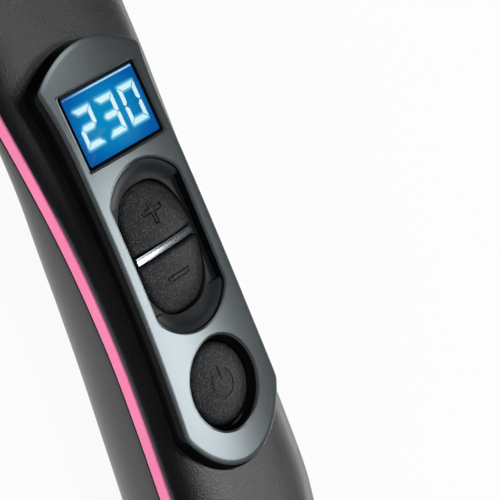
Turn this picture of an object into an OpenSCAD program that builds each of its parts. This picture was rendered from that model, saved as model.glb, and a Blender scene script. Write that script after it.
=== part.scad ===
// Heated hair straightening brush: a paddle head with a heated toothed plate,
// and a handle with a digital panel. Millimetres.
// X runs from the head to the tail, Y to the panel's right, Z out of the panel and the teeth.
// The brush lies on its back, and the origin is under the middle of its box.

/* [Overall] */
// Whole length, head end to the mouth of the cord bush
total_l = 288; // [286:1:290]
// Height of the panel's highest point over the rest surface
panel_z = 35; // [35:0.5:36]
// Radius of the handle's long arch, seen from the side
arch_r = 575; // [550:5:600]
// Wall of both housings
wall = 2; // [1.6:0.1:2]
// Height of the coloured side trim
trim_h = 3; // [2.6:0.1:3]

/* [Head] */
// Half of the head's width
head_half_w = 38.5; // [38.5:0.1:39]
// Height of the parting line round the head
head_part_z = 19; // [19:0.1:19.4]
// Half length of the heated plate
plate_half_l = 47.5; // [47.5:0.1:47.8]
// Half width of the heated plate
plate_half_w = 29; // [29:0.1:29.2]
// Corner radius of the heated plate
plate_corner_r = 24; // [23.8:0.1:24.2]
// Top of the heated plate
plate_top_z = 27.8; // [27.6:0.1:28]
// Row pitch of the teeth within a column
tooth_pitch = 8.4; // [8.3:0.1:8.5]
// Pitch of the tooth columns
column_pitch = 11; // [11:0.1:11.1]
// Height of a tooth
tooth_h = 10.5; // [10:0.1:11]
// Radius of a tooth's ball tip
tip_r = 2; // [1.8:0.1:2]
// Number of pins round the plate
pin_count = 36; // [34:1:36]
// Radius of a pin
pin_r = 1; // [0.9:0.05:1]
// Height of a pin over its frame
pin_h = 19; // [17:0.5:20]

/* [Panel] */
// Middle of the display
display_x = 23; // [22.9:0.1:23.1]
// Width and length of the display window
display_w = 21.4; // [21:0.1:21.4]
display_l = 14.2; // [13.8:0.1:14.2]
// Middle of the pair of temperature buttons
pair_x = 50.6; // [50.5:0.1:50.7]
// Length and width of the recess round the pair
recess_l = 35.2; // [35:0.1:35.3]
recess_w = 20.9; // [20.7:0.1:21]
// Middle and radius of the power button's opening
power_x = 80.2; // [80:0.1:80.3]
power_r = 9.5; // [9.3:0.1:9.6]
// Travel of every button
press = 0.7; // [0.4:0.1:0.7]

/* [Cord outlet] */
// Height of the outlet's axis over the rest surface
outlet_z = 14; // [14:0.1:14.4]
// Radius of the bush's hole for the cord
cord_hole_r = 3.4; // [3:0.1:3.4]
// Radius of the bush where it turns in the housing
journal_r = 5.2; // [5:0.1:5.2]

/* [Hidden] */
$fn = 48;

fit = 0.05;                       // gap between neighbours that are fixed together
gap = 0.35;                       // gap round what moves
trim_proud = 0.25;                // the side trim stands this far out of the housings
head_end_x = -total_l / 2 + trim_proud;
tail_end_x = 137;                 // end of the housings; the bush runs on to total_l / 2
head_x = head_end_x + 57;         // middle of the head
head_corner_r = plate_corner_r + head_half_w - plate_half_w;
head_corner_x = head_end_x + head_corner_r;
tail_corner_r = 14;
tail_corner_x = tail_end_x - tail_corner_r;
tail_half_w = 17;
trim_top = trim_h / 2;

// ---------- Lengthways profile of the brush ----------

part_drop = 7.9;                  // parting line below the panel
neck_x = -20;                     // the arch eases into the level head from here
function arch(x) = sqrt(arch_r * arch_r - (x - pair_x) * (x - pair_x)) - arch_r;
neck_part_z = panel_z - part_drop + arch(neck_x);
neck_slope = (pair_x - neck_x) / arch_r;
ease_l = 2 * (neck_part_z - head_part_z) / neck_slope;
// Height of the parting line
function part_z(x) = x >= neck_x ? panel_z - part_drop + arch(x)
    : head_part_z + neck_slope / (2 * ease_l) * pow(max(0, x - neck_x + ease_l), 2);

// Stations: x, half width, crown over the trim, depth under the trim,
// share of the half width that is rounded in front and behind, and the exponents of both curves
STATIONS = [
    [-87,   head_half_w, 6.0, 17.5, 0.068, 0.72, 2.0, 2.2],
    [-63.5, head_half_w, 6.0, 17.2, 0.07,  0.75, 2.0, 2.2],
    [-55,   37.6,        5.7, 16.3, 0.14,  0.80, 2.1, 2.2],
    [-40,   32.9,        4.8, 13.4, 0.42,  0.86, 2.3, 2.1],
    [-20,   25.7,        3.6, 10.4, 0.80,  0.92, 2.4, 2.0],
    [0,     21.8,        2.8, 9.3,  0.90,  0.93, 2.3, 2.0],
    [17,    20.4,        2.4, 9.8,  0.90,  0.93, 2.3, 2.0],
    [29,    19.3,        2.7, 12.2, 0.90,  0.93, 2.4, 2.1],
    [42,    18.3,        3.4, 15.6, 0.90,  0.93, 2.5, 2.2],
    [55,    17.8,        3.9, 17.9, 0.90,  0.93, 2.3, 2.2],
    [68,    17.7,        3.9, 19.5, 0.90,  0.93, 2.3, 2.2],
    [81,    18.1,        3.8, 20.6, 0.90,  0.93, 2.3, 2.2],
    [95,    18.6,        3.6, 21.3, 0.90,  0.93, 2.4, 2.2],
    [108,   18.7,        3.9, 22.0, 0.90,  0.93, 2.6, 2.2],
    [116,   17.7,        4.4, 20.9, 0.90,  0.93, 2.6, 2.2],
    [123,   tail_half_w, 4.8, 19.0, 0.90,  0.93, 2.6, 2.2],
];
WIDTH = 1; CROWN = 2; DEPTH = 3; FRONT_ROUND = 4; BACK_ROUND = 5; FRONT_EXP = 6; BACK_EXP = 7;

function station(x, i = 0) =
    i >= len(STATIONS) - 2 || x < STATIONS[i + 1][0] ? i : station(x, i + 1);
function slope_at(i, k) = i == 0 || i == len(STATIONS) - 1 ? 0
    : (STATIONS[i + 1][k] - STATIONS[i - 1][k]) / (STATIONS[i + 1][0] - STATIONS[i - 1][0]);
// Value of column k at x, on a smooth curve through the stations
function along(x, k) =
    let(i = station(x), a = STATIONS[i], b = STATIONS[i + 1], h = b[0] - a[0],
        t = min(1, max(0, (x - a[0]) / h)))
    a[k] * (1 + 2 * t) * pow(1 - t, 2) + h * slope_at(i, k) * t * pow(1 - t, 2)
    + b[k] * t * t * (3 - 2 * t) + h * slope_at(i + 1, k) * t * t * (t - 1);

// Half width of the outline, set in by a distance d along its normal
function in_end(x) = x < head_corner_x ? -1 : x > tail_corner_x ? 1 : 0;
function end_corner_x(x) = x < head_corner_x ? head_corner_x : tail_corner_x;
function end_corner_r(x) = x < head_corner_x ? head_corner_r : tail_corner_r;
function end_flat(x) = x < head_corner_x ? head_half_w - head_corner_r : tail_half_w - tail_corner_r;
function side_slope(x) = (along(x + 0.1, WIDTH) - along(x - 0.1, WIDTH)) / 0.2;
function half_w(x, d = 0) = in_end(x) == 0
    ? along(x, WIDTH) - d * sqrt(1 + pow(side_slope(x), 2))
    : end_flat(x) + sqrt(max(0, pow(end_corner_r(x) - d, 2) - pow(x - end_corner_x(x), 2)));
// Largest inset that still meets the section at x
function max_inset(x) = in_end(x) == 0 ? along(x, WIDTH)
    : end_corner_r(x) - abs(x - end_corner_x(x));
// Outward direction of the outline at x, on the +Y side
function outward(x) = in_end(x) == 0
    ? let(s = side_slope(x)) [-s, 1] / sqrt(1 + s * s)
    : let(u = (x - end_corner_x(x)) / end_corner_r(x)) [u, sqrt(max(0, 1 - u * u))];

// Section places along the brush, close together where the ends turn in
END_STEPS = 12;
SIDE_STEPS = 24;
section_x = concat(
    [for (i = [0 : END_STEPS - 1]) head_corner_x - head_corner_r * cos(90 * i / END_STEPS)],
    [for (i = [0 : SIDE_STEPS]) head_corner_x + (tail_corner_x - head_corner_x) * i / SIDE_STEPS],
    [for (i = [1 : END_STEPS]) tail_corner_x + tail_corner_r * sin(90 * i / END_STEPS)]);

// Rounded edge: height reached at share q of the rounding, as a superellipse
function rounding(q, n) = pow(1 - pow(1 - min(1, q), n), 1 / n);
ROUND_STEPS = 7;
// One section of a housing's surface at x. side is 1 in front and -1 behind, inset is the wall.
function section(x, side, inset) =
    let(
        high = (side > 0 ? along(x, CROWN) : along(x, DEPTH)) - inset,
        share = along(x, side > 0 ? FRONT_ROUND : BACK_ROUND),
        n = along(x, side > 0 ? FRONT_EXP : BACK_EXP),
        out = outward(x),
        base = [x - inset * out[0], half_w(x) - inset * out[1]],
        bend = max(0.4, share * along(x, WIDTH) - inset * share),
        deep = min(bend, max(0.05, max_inset(x) - inset) * 0.96),
        z0 = part_z(base[0]) + side * trim_top,
        half = [for (j = [0 : ROUND_STEPS])
            let(d = deep * (1 - pow(cos(90 * j / ROUND_STEPS), 2 / n)),
                y = max(0.04 * base[1], half_w(x, d) - inset * out[1]))
            [base[0], y, z0 + side * high * rounding(d / bend, n)]])
    concat([for (p = half) [p[0], -p[1], p[2]]],
           [[base[0], 0, half[ROUND_STEPS][2]]],
           [for (j = [ROUND_STEPS : -1 : 0]) half[j]]);

// ---------- Shape helpers ----------

// Solid between two grids of points with the same rows and columns
module thick_sheet(outer, inner) {
    rows = len(outer);
    cols = len(outer[0]);
    function at(layer, i, j) = layer * rows * cols + i * cols + j;
    points = concat([for (row = outer) for (p = row) p], [for (row = inner) for (p = row) p]);
    faces = concat(
        [for (i = [0 : rows - 2]) for (j = [0 : cols - 2]) for (f = [
            [at(0, i, j), at(0, i, j + 1), at(0, i + 1, j + 1)],
            [at(0, i, j), at(0, i + 1, j + 1), at(0, i + 1, j)],
            [at(1, i, j), at(1, i + 1, j + 1), at(1, i, j + 1)],
            [at(1, i, j), at(1, i + 1, j), at(1, i + 1, j + 1)]]) f],
        [for (i = [0 : rows - 2]) for (f = [
            [at(0, i, 0), at(0, i + 1, 0), at(1, i + 1, 0)],
            [at(0, i, 0), at(1, i + 1, 0), at(1, i, 0)],
            [at(0, i, cols - 1), at(1, i + 1, cols - 1), at(0, i + 1, cols - 1)],
            [at(0, i, cols - 1), at(1, i, cols - 1), at(1, i + 1, cols - 1)]]) f],
        [for (j = [0 : cols - 2]) for (f = [
            [at(0, 0, j), at(1, 0, j + 1), at(0, 0, j + 1)],
            [at(0, 0, j), at(1, 0, j), at(1, 0, j + 1)],
            [at(0, rows - 1, j), at(0, rows - 1, j + 1), at(1, rows - 1, j + 1)],
            [at(0, rows - 1, j), at(1, rows - 1, j + 1), at(1, rows - 1, j)]]) f]);
    polyhedron(points, faces);
}

// Solid along a closed loop of closed rings
module ring_loop(rings) {
    n = len(rings);
    m = len(rings[0]);
    function at(i, j) = (i % n) * m + j % m;
    polyhedron([for (r = rings) for (p = r) p],
        [for (i = [0 : n - 1]) for (j = [0 : m - 1]) for (f = [
            [at(i, j), at(i + 1, j + 1), at(i, j + 1)],
            [at(i, j), at(i + 1, j), at(i + 1, j + 1)]]) f]);
}

module slab(z0, z1) {
    translate([0, 0, z0]) linear_extrude(z1 - z0) children();
}

// Rounded rectangle of the plate's outline, grown outward by grow
module plate_outline(grow = 0) {
    l = plate_half_l + grow;
    w = plate_half_w + grow;
    r = plate_corner_r + grow;
    translate([head_x, 0]) union() {
        square([2 * (l - r), 2 * w], center = true);
        square([2 * l, 2 * (w - r)], center = true);
        for (sx = [-1, 1]) for (sy = [-1, 1])
            translate([sx * (l - r), sy * (w - r)]) circle(r, $fn = 96);
    }
}

// Places children at x on the panel's arch, with local Z along its normal and zero on the panel
module on_panel(x) {
    translate([pair_x, 0, panel_z - arch_r])
        rotate([0, asin((x - pair_x) / arch_r), 0])
            translate([0, 0, arch_r]) children();
}

module box(lx, ly, z0, z1, r = 0) {
    slab(z0, z1)
        if (r > 0) {
            union() {
                square([lx - 2 * r, ly], center = true);
                square([lx, ly - 2 * r], center = true);
                for (sx = [-1, 1]) for (sy = [-1, 1])
                    translate([sx * (lx / 2 - r), sy * (ly / 2 - r)]) circle(r);
            }
        } else square([lx, ly], center = true);
}

// Solid of revolution about X, from a profile of [x, radius] points
module turned(profile) {
    rotate([0, 90, 0]) rotate_extrude($fn = 64)
        polygon([for (p = profile) [p[1], p[0]]]);
}

// ---------- Housings ----------

front_grey = [0.16, 0.16, 0.17];
frame_z0 = 22.2;                  // underside of the pin frame
frame_z1 = 24.9;                  // ridges of the pin frame
frame_out = 7.2;                  // frame's outer edge outside the plate
surround_out = 2.2;               // surround's outer edge outside the plate
boss_x = [-14, 108];              // screws of the handle
boss_head_x = [head_x - 36, head_x + 36];
boss_r = 3.4;
screw_r = 1.3;                    // clearance hole of the housing screws
thread_r = 1.1;
screw_in = 4;                     // how far they reach over the parting line
screw_head_r = 2.4;
screw_seat = 4;                   // depth of the screws' counterbores

module housing_shell(side) {
    sheets = [for (inset = [0, wall]) [for (x = section_x) section(x, side, inset)]];
    if (side > 0) thick_sheet(sheets[0], sheets[1]);
    else thick_sheet(sheets[1], sheets[0]);
}

module boss(z0, z1) {
    translate([0, 0, z0]) cylinder(r = boss_r, h = z1 - z0);
}

function crown_z(x) = part_z(x) + trim_top + along(x, CROWN);
function keel_z(x) = part_z(x) - trim_top - along(x, DEPTH);

module front_housing() {
    color(front_grey) difference() {
        union() {
            difference() {
                housing_shell(1);
                slab(frame_z0 - 4, panel_z) plate_outline(frame_out + fit);
                slab(20, panel_z + 5) offset(delta = fit) plinth_outline();
            }
            for (x = boss_x) translate([x, 0, 0])
                boss(part_z(x), crown_z(x) - wall + 0.4);
        }
        for (x = boss_x) translate([x, 0, part_z(x) - 1]) cylinder(r = thread_r, h = screw_in + 1);
    }
}

collar_r = 7;                     // collar and retaining flange of the cord bush
post_x = [53, 94];                // posts under the power board
post_y = 7;

module back_housing() {
    color(front_grey) difference() {
        union() {
            housing_shell(-1);
            for (x = boss_x) translate([x, 0, 0])
                boss(keel_z(x) + 0.5 * wall, part_z(x) - fit);
            for (x = boss_head_x) translate([x, 0, 0])
                boss(keel_z(x) + 0.5 * wall, chassis_z0 - 4);
            for (x = post_x) for (y = [-post_y, post_y]) translate([x, y, keel_z(x) + 1.8])
                cylinder(r = 2, h = power_z0 - keel_z(x) - 1.8);
            // Ledge under the contact block
            translate([bush_x0 + 4, 0, 0]) box(6, 8, keel_z(bush_x0 + 4) + 1, block_z0);
            // Seat of the cord bush, inside the tail
            translate([tail_end_x - 9, 0, outlet_z]) rotate([0, 90, 0])
                cylinder(r = collar_r - 0.4, h = 6.3);
        }
        for (x = concat(boss_x, boss_head_x)) translate([x, 0, 0]) {
            translate([0, 0, -1]) cylinder(r = screw_head_r + 0.2, h = keel_z(x) + screw_seat + 1);
            cylinder(r = screw_r, h = part_z(x) + 1);
        }
        // Bore for the bush, and the flat pocket of its collar
        translate([tail_end_x - 12, 0, outlet_z]) rotate([0, 90, 0])
            cylinder(r = journal_r + fit, h = 20);
        translate([tail_end_x - 1.5, 0, outlet_z]) rotate([0, 90, 0])
            cylinder(r = collar_r + gap, h = 6);
    }
}

// Coloured band between the housings, all the way round
trim_deep = wall + 0.2;
trim_profile = [[-trim_deep, -0.96], [-0.15, -0.96], [trim_proud, -0.45],
                [trim_proud, 0.45], [-0.15, 0.96], [-trim_deep, 0.96]];

function trim_ring(x, sy) =
    let(out = outward(x), y = half_w(x))
    [for (p = trim_profile)
        let(px = x + p[0] * out[0])
        [px, sy * (y + p[0] * out[1]), part_z(px) + p[1] * trim_top]];

module side_trim() {
    n = len(section_x);
    color([0.96, 0.5, 0.68]) difference() {
        ring_loop(concat(
            [for (i = [0 : n - 1]) trim_ring(section_x[i], 1)],
            [for (i = [n - 1 : -1 : 0]) trim_ring(section_x[i], -1)]));
        translate([tail_end_x - 1.5, 0, outlet_z]) rotate([0, 90, 0])
            cylinder(r = collar_r + gap, h = 6);
    }
}

// ---------- Head ----------

// Point and heading on the closed path of the pins, s from 0 to 1
pin_path_out = 4.7;
path_r = plate_corner_r + pin_path_out;
path_side = 2 * (plate_half_l - plate_corner_r);
path_end = 2 * (plate_half_w - plate_corner_r);
path_arc = PI / 2 * path_r;
path_total = 2 * path_side + 2 * path_end + 4 * path_arc;
// Quarter of the path from the middle of a side to the middle of an end
function quarter(u) = u < path_side / 2 ? [u, path_r + path_end / 2, 90]
    : u < path_side / 2 + path_arc
    ? let(a = 90 - (u - path_side / 2) / path_r * 180 / PI)
        [path_side / 2 + path_r * cos(a), path_end / 2 + path_r * sin(a), a]
    : [path_side / 2 + path_r, path_end / 2 - (u - path_side / 2 - path_arc), 0];
function pin_place(s) =
    let(q = path_total / 4, u = s * path_total, k = floor(u / q), t = u - k * q,
        p = quarter(k % 2 == 0 ? t : q - t),
        sx = k < 2 ? 1 : -1,
        sy = k == 0 || k == 3 ? 1 : -1)
    [sx * p[0], sy * p[1], atan2(sy * sin(p[2]), sx * cos(p[2]))];
pins = [for (i = [0 : pin_count - 1]) pin_place((i + 0.5) / pin_count)];

trough_r = 3.6;
trough_deep = 1.3;
module pin_frame() {
    color([0.13, 0.13, 0.14]) difference() {
        slab(frame_z0, frame_z1) difference() {
            plate_outline(frame_out);
            plate_outline(surround_out + fit);
        }
        for (p = pins) translate([head_x + p[0], p[1], 0]) rotate([0, 0, p[2]]) {
            translate([-6, 0, frame_z1 - trough_deep + trough_r]) rotate([0, 90, 0])
                cylinder(r = trough_r, h = 12);
            translate([0, 0, frame_z0 - 1]) cylinder(r = pin_r, h = 6, $fn = 24);
        }
    }
}

module edge_pins() {
    color([0.08, 0.08, 0.09])
    for (p = pins) translate([head_x + p[0], p[1], 0]) {
        translate([0, 0, frame_z0]) cylinder(r = pin_r, h = pin_h, $fn = 24);
        translate([0, 0, frame_z0 + pin_h]) sphere(pin_r, $fn = 24);
    }
}

plate_z0 = plate_top_z - 3.2;
module plate_surround() {
    color([0.02, 0.02, 0.02]) slab(frame_z0 - 0.6, 25.8) difference() {
        plate_outline(surround_out);
        plate_outline(0.4);
    }
}

module heating_plate() {
    color([0.9, 0.08, 0.3]) union() {
        slab(plate_z0, plate_top_z - 0.8) plate_outline(0);
        // Skirt that stands on the chassis, and bosses for the clamp's screws
        slab(chassis_z1, plate_z0) difference() {
            plate_outline(-1.2);
            plate_outline(-3.2);
        }
        for (sx = [-1, 1]) translate([head_x + sx * clamp_screw_x, 0, 0]) difference() {
            box(3.6, 3.6, slab_z0, plate_z0);
            translate([0, 0, slab_z0 - 1]) cylinder(r = thread_r, h = 3, $fn = 24);
        }
        hull() {
            slab(plate_top_z - 0.8, plate_top_z - 0.7) plate_outline(0);
            slab(plate_top_z - 0.1, plate_top_z) plate_outline(-0.8);
        }
    }
}

// Rows of each column, counted from the middle column out
ROWS = [11, 10, 7];
function rows_of(c) = ROWS[abs(c)];
teeth = [for (c = [-2 : 2]) for (r = [0 : rows_of(c) - 1])
    [head_x + (r - (rows_of(c) - 1) / 2) * tooth_pitch, c * column_pitch]];
leaf_off = 3.4;                   // centres of the two cones that cut the leaf
leaf_base_r = 6.8;
leaf_top_r = 5.5;
ball_rise = 0.7;                  // ball's centre over the tooth's top

module heating_teeth() {
    color([0.92, 0.1, 0.32])
    for (t = teeth) translate([t[0], t[1], plate_top_z]) difference() {
        intersection() {
            translate([-leaf_off, 0, 0]) cylinder(r1 = leaf_base_r, r2 = leaf_top_r, h = tooth_h);
            translate([leaf_off, 0, 0]) cylinder(r1 = leaf_base_r, r2 = leaf_top_r, h = tooth_h);
        }
        translate([0, 0, tooth_h + ball_rise]) sphere(tip_r, $fn = 32);
    }
}

module tooth_tips() {
    color([0.1, 0.1, 0.1])
    for (t = teeth) translate([t[0], t[1], plate_top_z + tooth_h + ball_rise])
        sphere(tip_r, $fn = 32);
}

// Inner frame that carries the plate, the surround and the pin frame
chassis_z0 = 19.4;
chassis_z1 = frame_z0 - 0.6;
module head_chassis() {
    color([0.2, 0.2, 0.21]) difference() {
        union() {
            slab(chassis_z0, chassis_z1) plate_outline(4.4);
            slab(chassis_z1, frame_z0) difference() {
                plate_outline(6.6);
                plate_outline(surround_out + fit);
            }
            slab(chassis_z1 - 1, chassis_z1) difference() {
                plate_outline(6.6);
                plate_outline(4);
            }
            for (x = boss_head_x) translate([x, 0, 0]) boss(chassis_z0 - 4 + fit, chassis_z0 + 1);
        }
        translate([head_x, 0, 0]) box(64, 44, chassis_z0 - 1, frame_z0 + 1, 6);
        for (x = boss_head_x) translate([x, 0, chassis_z0 - 5]) cylinder(r = thread_r, h = 6);
    }
}

slab_z1 = plate_z0 - 0.02;
slab_z0 = slab_z1 - 2.6;
clamp_screw_x = 24;
module heater_slabs() {
    color([0.92, 0.9, 0.84])
    for (sy = [-1, 1]) translate([head_x, sy * 11.5, 0]) box(60, 18, slab_z0, slab_z1);
}

module mica_sheet() {
    color([0.75, 0.68, 0.5]) translate([head_x, 0, 0]) difference() {
        box(60, 42, clamp_z1, slab_z0, 5);
        for (sx = [-1, 1]) translate([sx * clamp_screw_x, 0, 0]) cylinder(r = 1.3, h = 30, $fn = 24);
    }
}

clamp_z1 = slab_z0 - 0.5;
module heater_clamp() {
    color([0.75, 0.76, 0.78]) difference() {
        translate([head_x, 0, 0]) union() {
            box(60, 40, clamp_z1 - 1.6, clamp_z1, 4);
            for (sy = [-1, 1]) translate([0, sy * 10, 0]) box(56, 2.4, clamp_z1 - 4, clamp_z1 - 1.6);
        }
        for (sx = [-1, 1]) translate([head_x + sx * clamp_screw_x, 0, 0]) cylinder(r = 1.3, h = 30, $fn = 24);
    }
}

module clamp_screws() {
    color([0.7, 0.7, 0.68])
    for (sx = [-1, 1]) translate([head_x + sx * clamp_screw_x, 0, 0]) {
        translate([0, 0, clamp_z1 - 3.4]) cylinder(r = 2.8, h = 1.8, $fn = 24);
        translate([0, 0, clamp_z1 - 1.6]) cylinder(r = thread_r, h = 3.6, $fn = 24);
    }
}

module heat_shield() {
    color([0.8, 0.8, 0.78]) translate([head_x, 0, 0]) union() {
        box(58, 46, 11.4, 12, 4);
        for (sy = [-1, 1]) translate([0, sy * 22.6, 0]) box(50, 0.8, 11.4, chassis_z0);
    }
}

module thermistor() {
    color([0.2, 0.35, 0.2]) translate([head_x + 6, 0, clamp_z1 - 3.0]) rotate([0, 90, 0])
        cylinder(r = 1.4, h = 6, $fn = 24);
}

module thermal_fuse() {
    color([0.85, 0.83, 0.75]) translate([head_x - 12, 0, clamp_z1 - 3.6]) rotate([0, 90, 0]) union() {
        cylinder(r = 2, h = 10, $fn = 32);
        translate([0, 0, -4]) cylinder(r = 0.6, h = 18, $fn = 24);
    }
}

// Round wire through a list of points, with ball joints
module wire(route, r) {
    for (i = [0 : len(route) - 2]) {
        d = route[i + 1] - route[i];
        translate(route[i]) {
            rotate([0, acos(d[2] / norm(d)), atan2(d[1], d[0])]) cylinder(r = r, h = norm(d), $fn = 16);
            if (i > 0) sphere(r + 0.06, $fn = 16);
        }
    }
}

lead_y = 6;
module heater_leads() {
    color([0.85, 0.85, 0.82]) for (sy = [-1, 1])
        wire([[head_x + 31, sy * lead_y, 23.4], [head_x + 31, sy * lead_y, 16.4],
              [-36, sy * lead_y, 15.5], [-12, sy * lead_y, 19.2], [18, sy * lead_y, 19.6],
              [38, sy * lead_y, 17.4], [51, sy * lead_y, power_z0 + 2.4]], 0.9);
}

// ---------- Panel ----------

// Half width of the fascia along its sides: waisted between the display and the pair of keys
function fascia_side(x) =
    13.62 + (x < 30 ? 1.4 * pow((30 - x) / 17, 2.5) : pow((x - 30) / 55, 3));
fascia_x0 = 7.4;
fascia_corner_x = 13;
fascia_bottom_x = 86.4;
fascia_x1 = 97.3;
// The tail end is an arc of an ellipse with these half axes, up to this angle
tail_arc = [26, 18];
tail_turn = 54.4;

// Outline of the fascia, grown by one amount at its head end, one beside the display
// and one at its tail end
module panel_outline(grow_top = 0, grow_display = 0, grow_tail = 0) {
    corner = [fascia_corner_x - grow_display * 0.3,
              fascia_side(fascia_corner_x) + grow_display * 0.8];
    top_x = fascia_x0 - grow_top;
    function grow(x) = grow_tail + (grow_display - grow_tail) * max(0, min(1, (66 - x) / 44));
    function tail_point(t) =
        let(n = [tail_arc[1] * cos(t), tail_arc[0] * sin(t)])
        [fascia_x1 - tail_arc[0] * (1 - cos(t)), tail_arc[1] * sin(t)] + grow_tail * n / norm(n);
    half = concat(
        [for (i = [0 : 5]) let(y = corner[1] * i / 6)
            [top_x + (corner[0] - top_x) * pow(y / corner[1], 2), y]],
        [corner],
        [for (x = [fascia_corner_x + 3 : 5 : fascia_bottom_x - 3]) [x, fascia_side(x) + grow(x)]],
        [for (t = [tail_turn : -tail_turn / 9 : 0.1]) tail_point(t)],
        [tail_point(0)]);
    mirrored = [for (i = [len(half) - 1 : -1 : 0]) if (half[i][1] > 0.01) [half[i][0], -half[i][1]]];
    offset(r = 1.2, $fn = 32) offset(delta = -1.2) polygon(concat([for (p = half) if (p[1] >= 0) p], mirrored));
}

// Body under the panel's arched surface, lowered by drop, with a crowned width
crown_r = 190;
module under_arch(drop) {
    translate([pair_x, 0, panel_z - arch_r]) rotate([90, 0, 0]) rotate([0, 0, 78])
        rotate_extrude(angle = 24, $fn = 360) intersection() {
            translate([arch_r - drop - crown_r, 0]) circle(crown_r, $fn = 180);
            translate([arch_r - 30, -30]) square([32, 60]);
        }
}

fascia_t = 1.6;
plinth_z0 = 26;
roof_z = 29.6;                    // underside of the plinth's top plate
recess_deep = 2.3;                // floor of the recess below the panel
recess_end_r = 12.6;              // radius of its arched ends

// Recess round the pair: a band with arched ends and soft corners
module recess_shape(grow = 0) {
    r = recess_end_r + grow;
    offset(r = 0.9, $fn = 32) offset(delta = -0.9) intersection() {
        square([recess_l + 2 * grow, recess_w + 2 * grow], center = true);
        union() {
            square([recess_l - 10, recess_w + 2 * grow], center = true);
            for (sx = [-1, 1]) translate([sx * (recess_l / 2 - recess_end_r), 0]) circle(r, $fn = 72);
        }
    }
}

pair_l = 26.2;
pair_w = 18.4;
divider_l = 17.4;
divider_t = 1.6;
// One point on the buttons' shared outline, a superellipse
function pair_point(a, g) =
    [(pair_l / 2 + g) * sign(cos(a)) * pow(abs(cos(a)), 2 / 2.6),
     (pair_w / 2 + g) * sign(sin(a)) * pow(abs(sin(a)), 2 / 2.6)];
module pair_shape(grow = 0) {
    polygon([for (a = [0 : 6 : 354]) pair_point(a, grow)]);
}

module plinth_outline() {
    panel_outline(0.9, 2.8, 1.2);
}

module plinth_body() {
    intersection() {
        hull() {
            slab(plinth_z0, 29.8) plinth_outline();
            slab(plinth_z0, 33.4) panel_outline(0.2, 0.2, 0.2);
        }
        slab(plinth_z0, 34) plinth_outline();
        under_arch(fascia_t);
    }
}

// Hollow of the recess: a flat floor, and a conical ramp up to each arched end
ramp_in = 3.2;                    // the ramps rise over this length
module recess_dish() {
    lift = 1.5;
    intersection() {
        slab(-recess_deep, 4) recess_shape(-0.8);
        union() {
            slab(-recess_deep, 4) square([2 * (recess_l / 2 - recess_end_r), recess_w], center = true);
            for (sx = [-1, 1]) translate([sx * (recess_l / 2 - recess_end_r), 0, 0]) {
                translate([0, 0, -recess_deep])
                    cylinder(r1 = recess_end_r - ramp_in, r2 = recess_end_r, h = lift, $fn = 72);
                translate([0, 0, lift - recess_deep - 0.01]) cylinder(r = recess_end_r, h = 4, $fn = 72);
            }
        }
    }
}

// Tongue that reaches under the front housing, from the plinth's end to x
module tongue(x, from) {
    translate([(x + from) / 2, 0, 0])
        box(abs(x - from), 12, plinth_z0, crown_z(x) - wall - 0.1);
}

module panel_plinth() {
    color([0.03, 0.03, 0.035]) difference() {
        union() {
            plinth_body();
            tongue(4.5, 8);
            tongue(101.2, 97);
            // Lining of the recess and of the power opening, up inside the fascia
            on_panel(pair_x) slab(-recess_deep - 1, -0.6) difference() {
                recess_shape(-fit);
                recess_shape(-0.8);
            }
            on_panel(power_x) translate([0, 0, -recess_deep - 1]) difference() {
                cylinder(r = power_r - fit, h = recess_deep + 0.4);
                translate([0, 0, -1]) cylinder(r = power_r - 0.7, h = 9);
            }
        }
        // Pocket under the top plate
        slab(plinth_z0 - 1, roof_z) offset(delta = -1.5) panel_outline(0, 0, 0);
        on_panel(display_x) box(display_l + 1.2, display_w + 1.2, -12, 5);
        on_panel(pair_x) {
            recess_dish();
            for (side = [-1, 1]) slab(-12, 0) half_pair(side, gap);
        }
        on_panel(power_x) {
            translate([0, 0, -recess_deep]) cylinder(r = power_r - 0.7, h = 5);
            translate([0, 0, -12]) cylinder(r = power_in, h = 12);
        }
    }
}

module control_fascia() {
    color([0.42, 0.46, 0.47]) difference() {
        intersection() {
            slab(29, 37) offset(delta = 0.03) panel_outline();
            hull() {
                slab(30, 33.0) panel_outline();
                slab(30, 34.4) offset(delta = -0.7) panel_outline();
                slab(30, 36) offset(delta = -2.4) panel_outline();
            }
            under_arch(0);
        }
        under_arch(fascia_t);
        on_panel(display_x) box(display_l + 1.2, display_w + 1.2, -9, 9, 0.6);
        on_panel(pair_x) slab(-9, 9) recess_shape();
        on_panel(power_x) translate([0, 0, -9]) cylinder(r = power_r, h = 18, $fn = 96);
    }
}

module display_bezel() {
    color([0.02, 0.02, 0.02]) on_panel(display_x) difference() {
        box(display_l + 1.1, display_w + 1.1, -4.4, -0.35, 0.5);
        box(display_l, display_w, -6, 1);
    }
}

module display_lens() {
    color([0.55, 0.8, 0.95, 0.4]) on_panel(display_x)
        box(display_l - fit, display_w - fit, -1.3, -0.5);
}

module display_module() {
    color([0.05, 0.4, 0.75]) union() {
        on_panel(display_x) box(display_l - 0.1, display_w - 0.1, -5.2, -1.65);
        // Block that stands on the control board
        translate([display_x, 0, 0]) box(9, 15, board_z1, 29.6);
    }
}

// Seven-segment figures. Local X is the figure's width, and Y its height.
digit_h = 7.9;
digit_w = 4.9;
digit_pitch = 6.6;
bar_t = 1;
bar_gap = 0.22;                   // gap between neighbouring bars
SEGMENTS = [[1, 1, 0, 1, 1, 0, 1], [1, 1, 1, 1, 0, 0, 1], [1, 1, 1, 1, 1, 1, 0]];
// Mitred bar of length l, with its long side up
module bar(l) {
    polygon([[-l / 2, 0], [l / 2, 0], [l / 2 - bar_t, -bar_t], [-l / 2 + bar_t, -bar_t]]);
}
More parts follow.
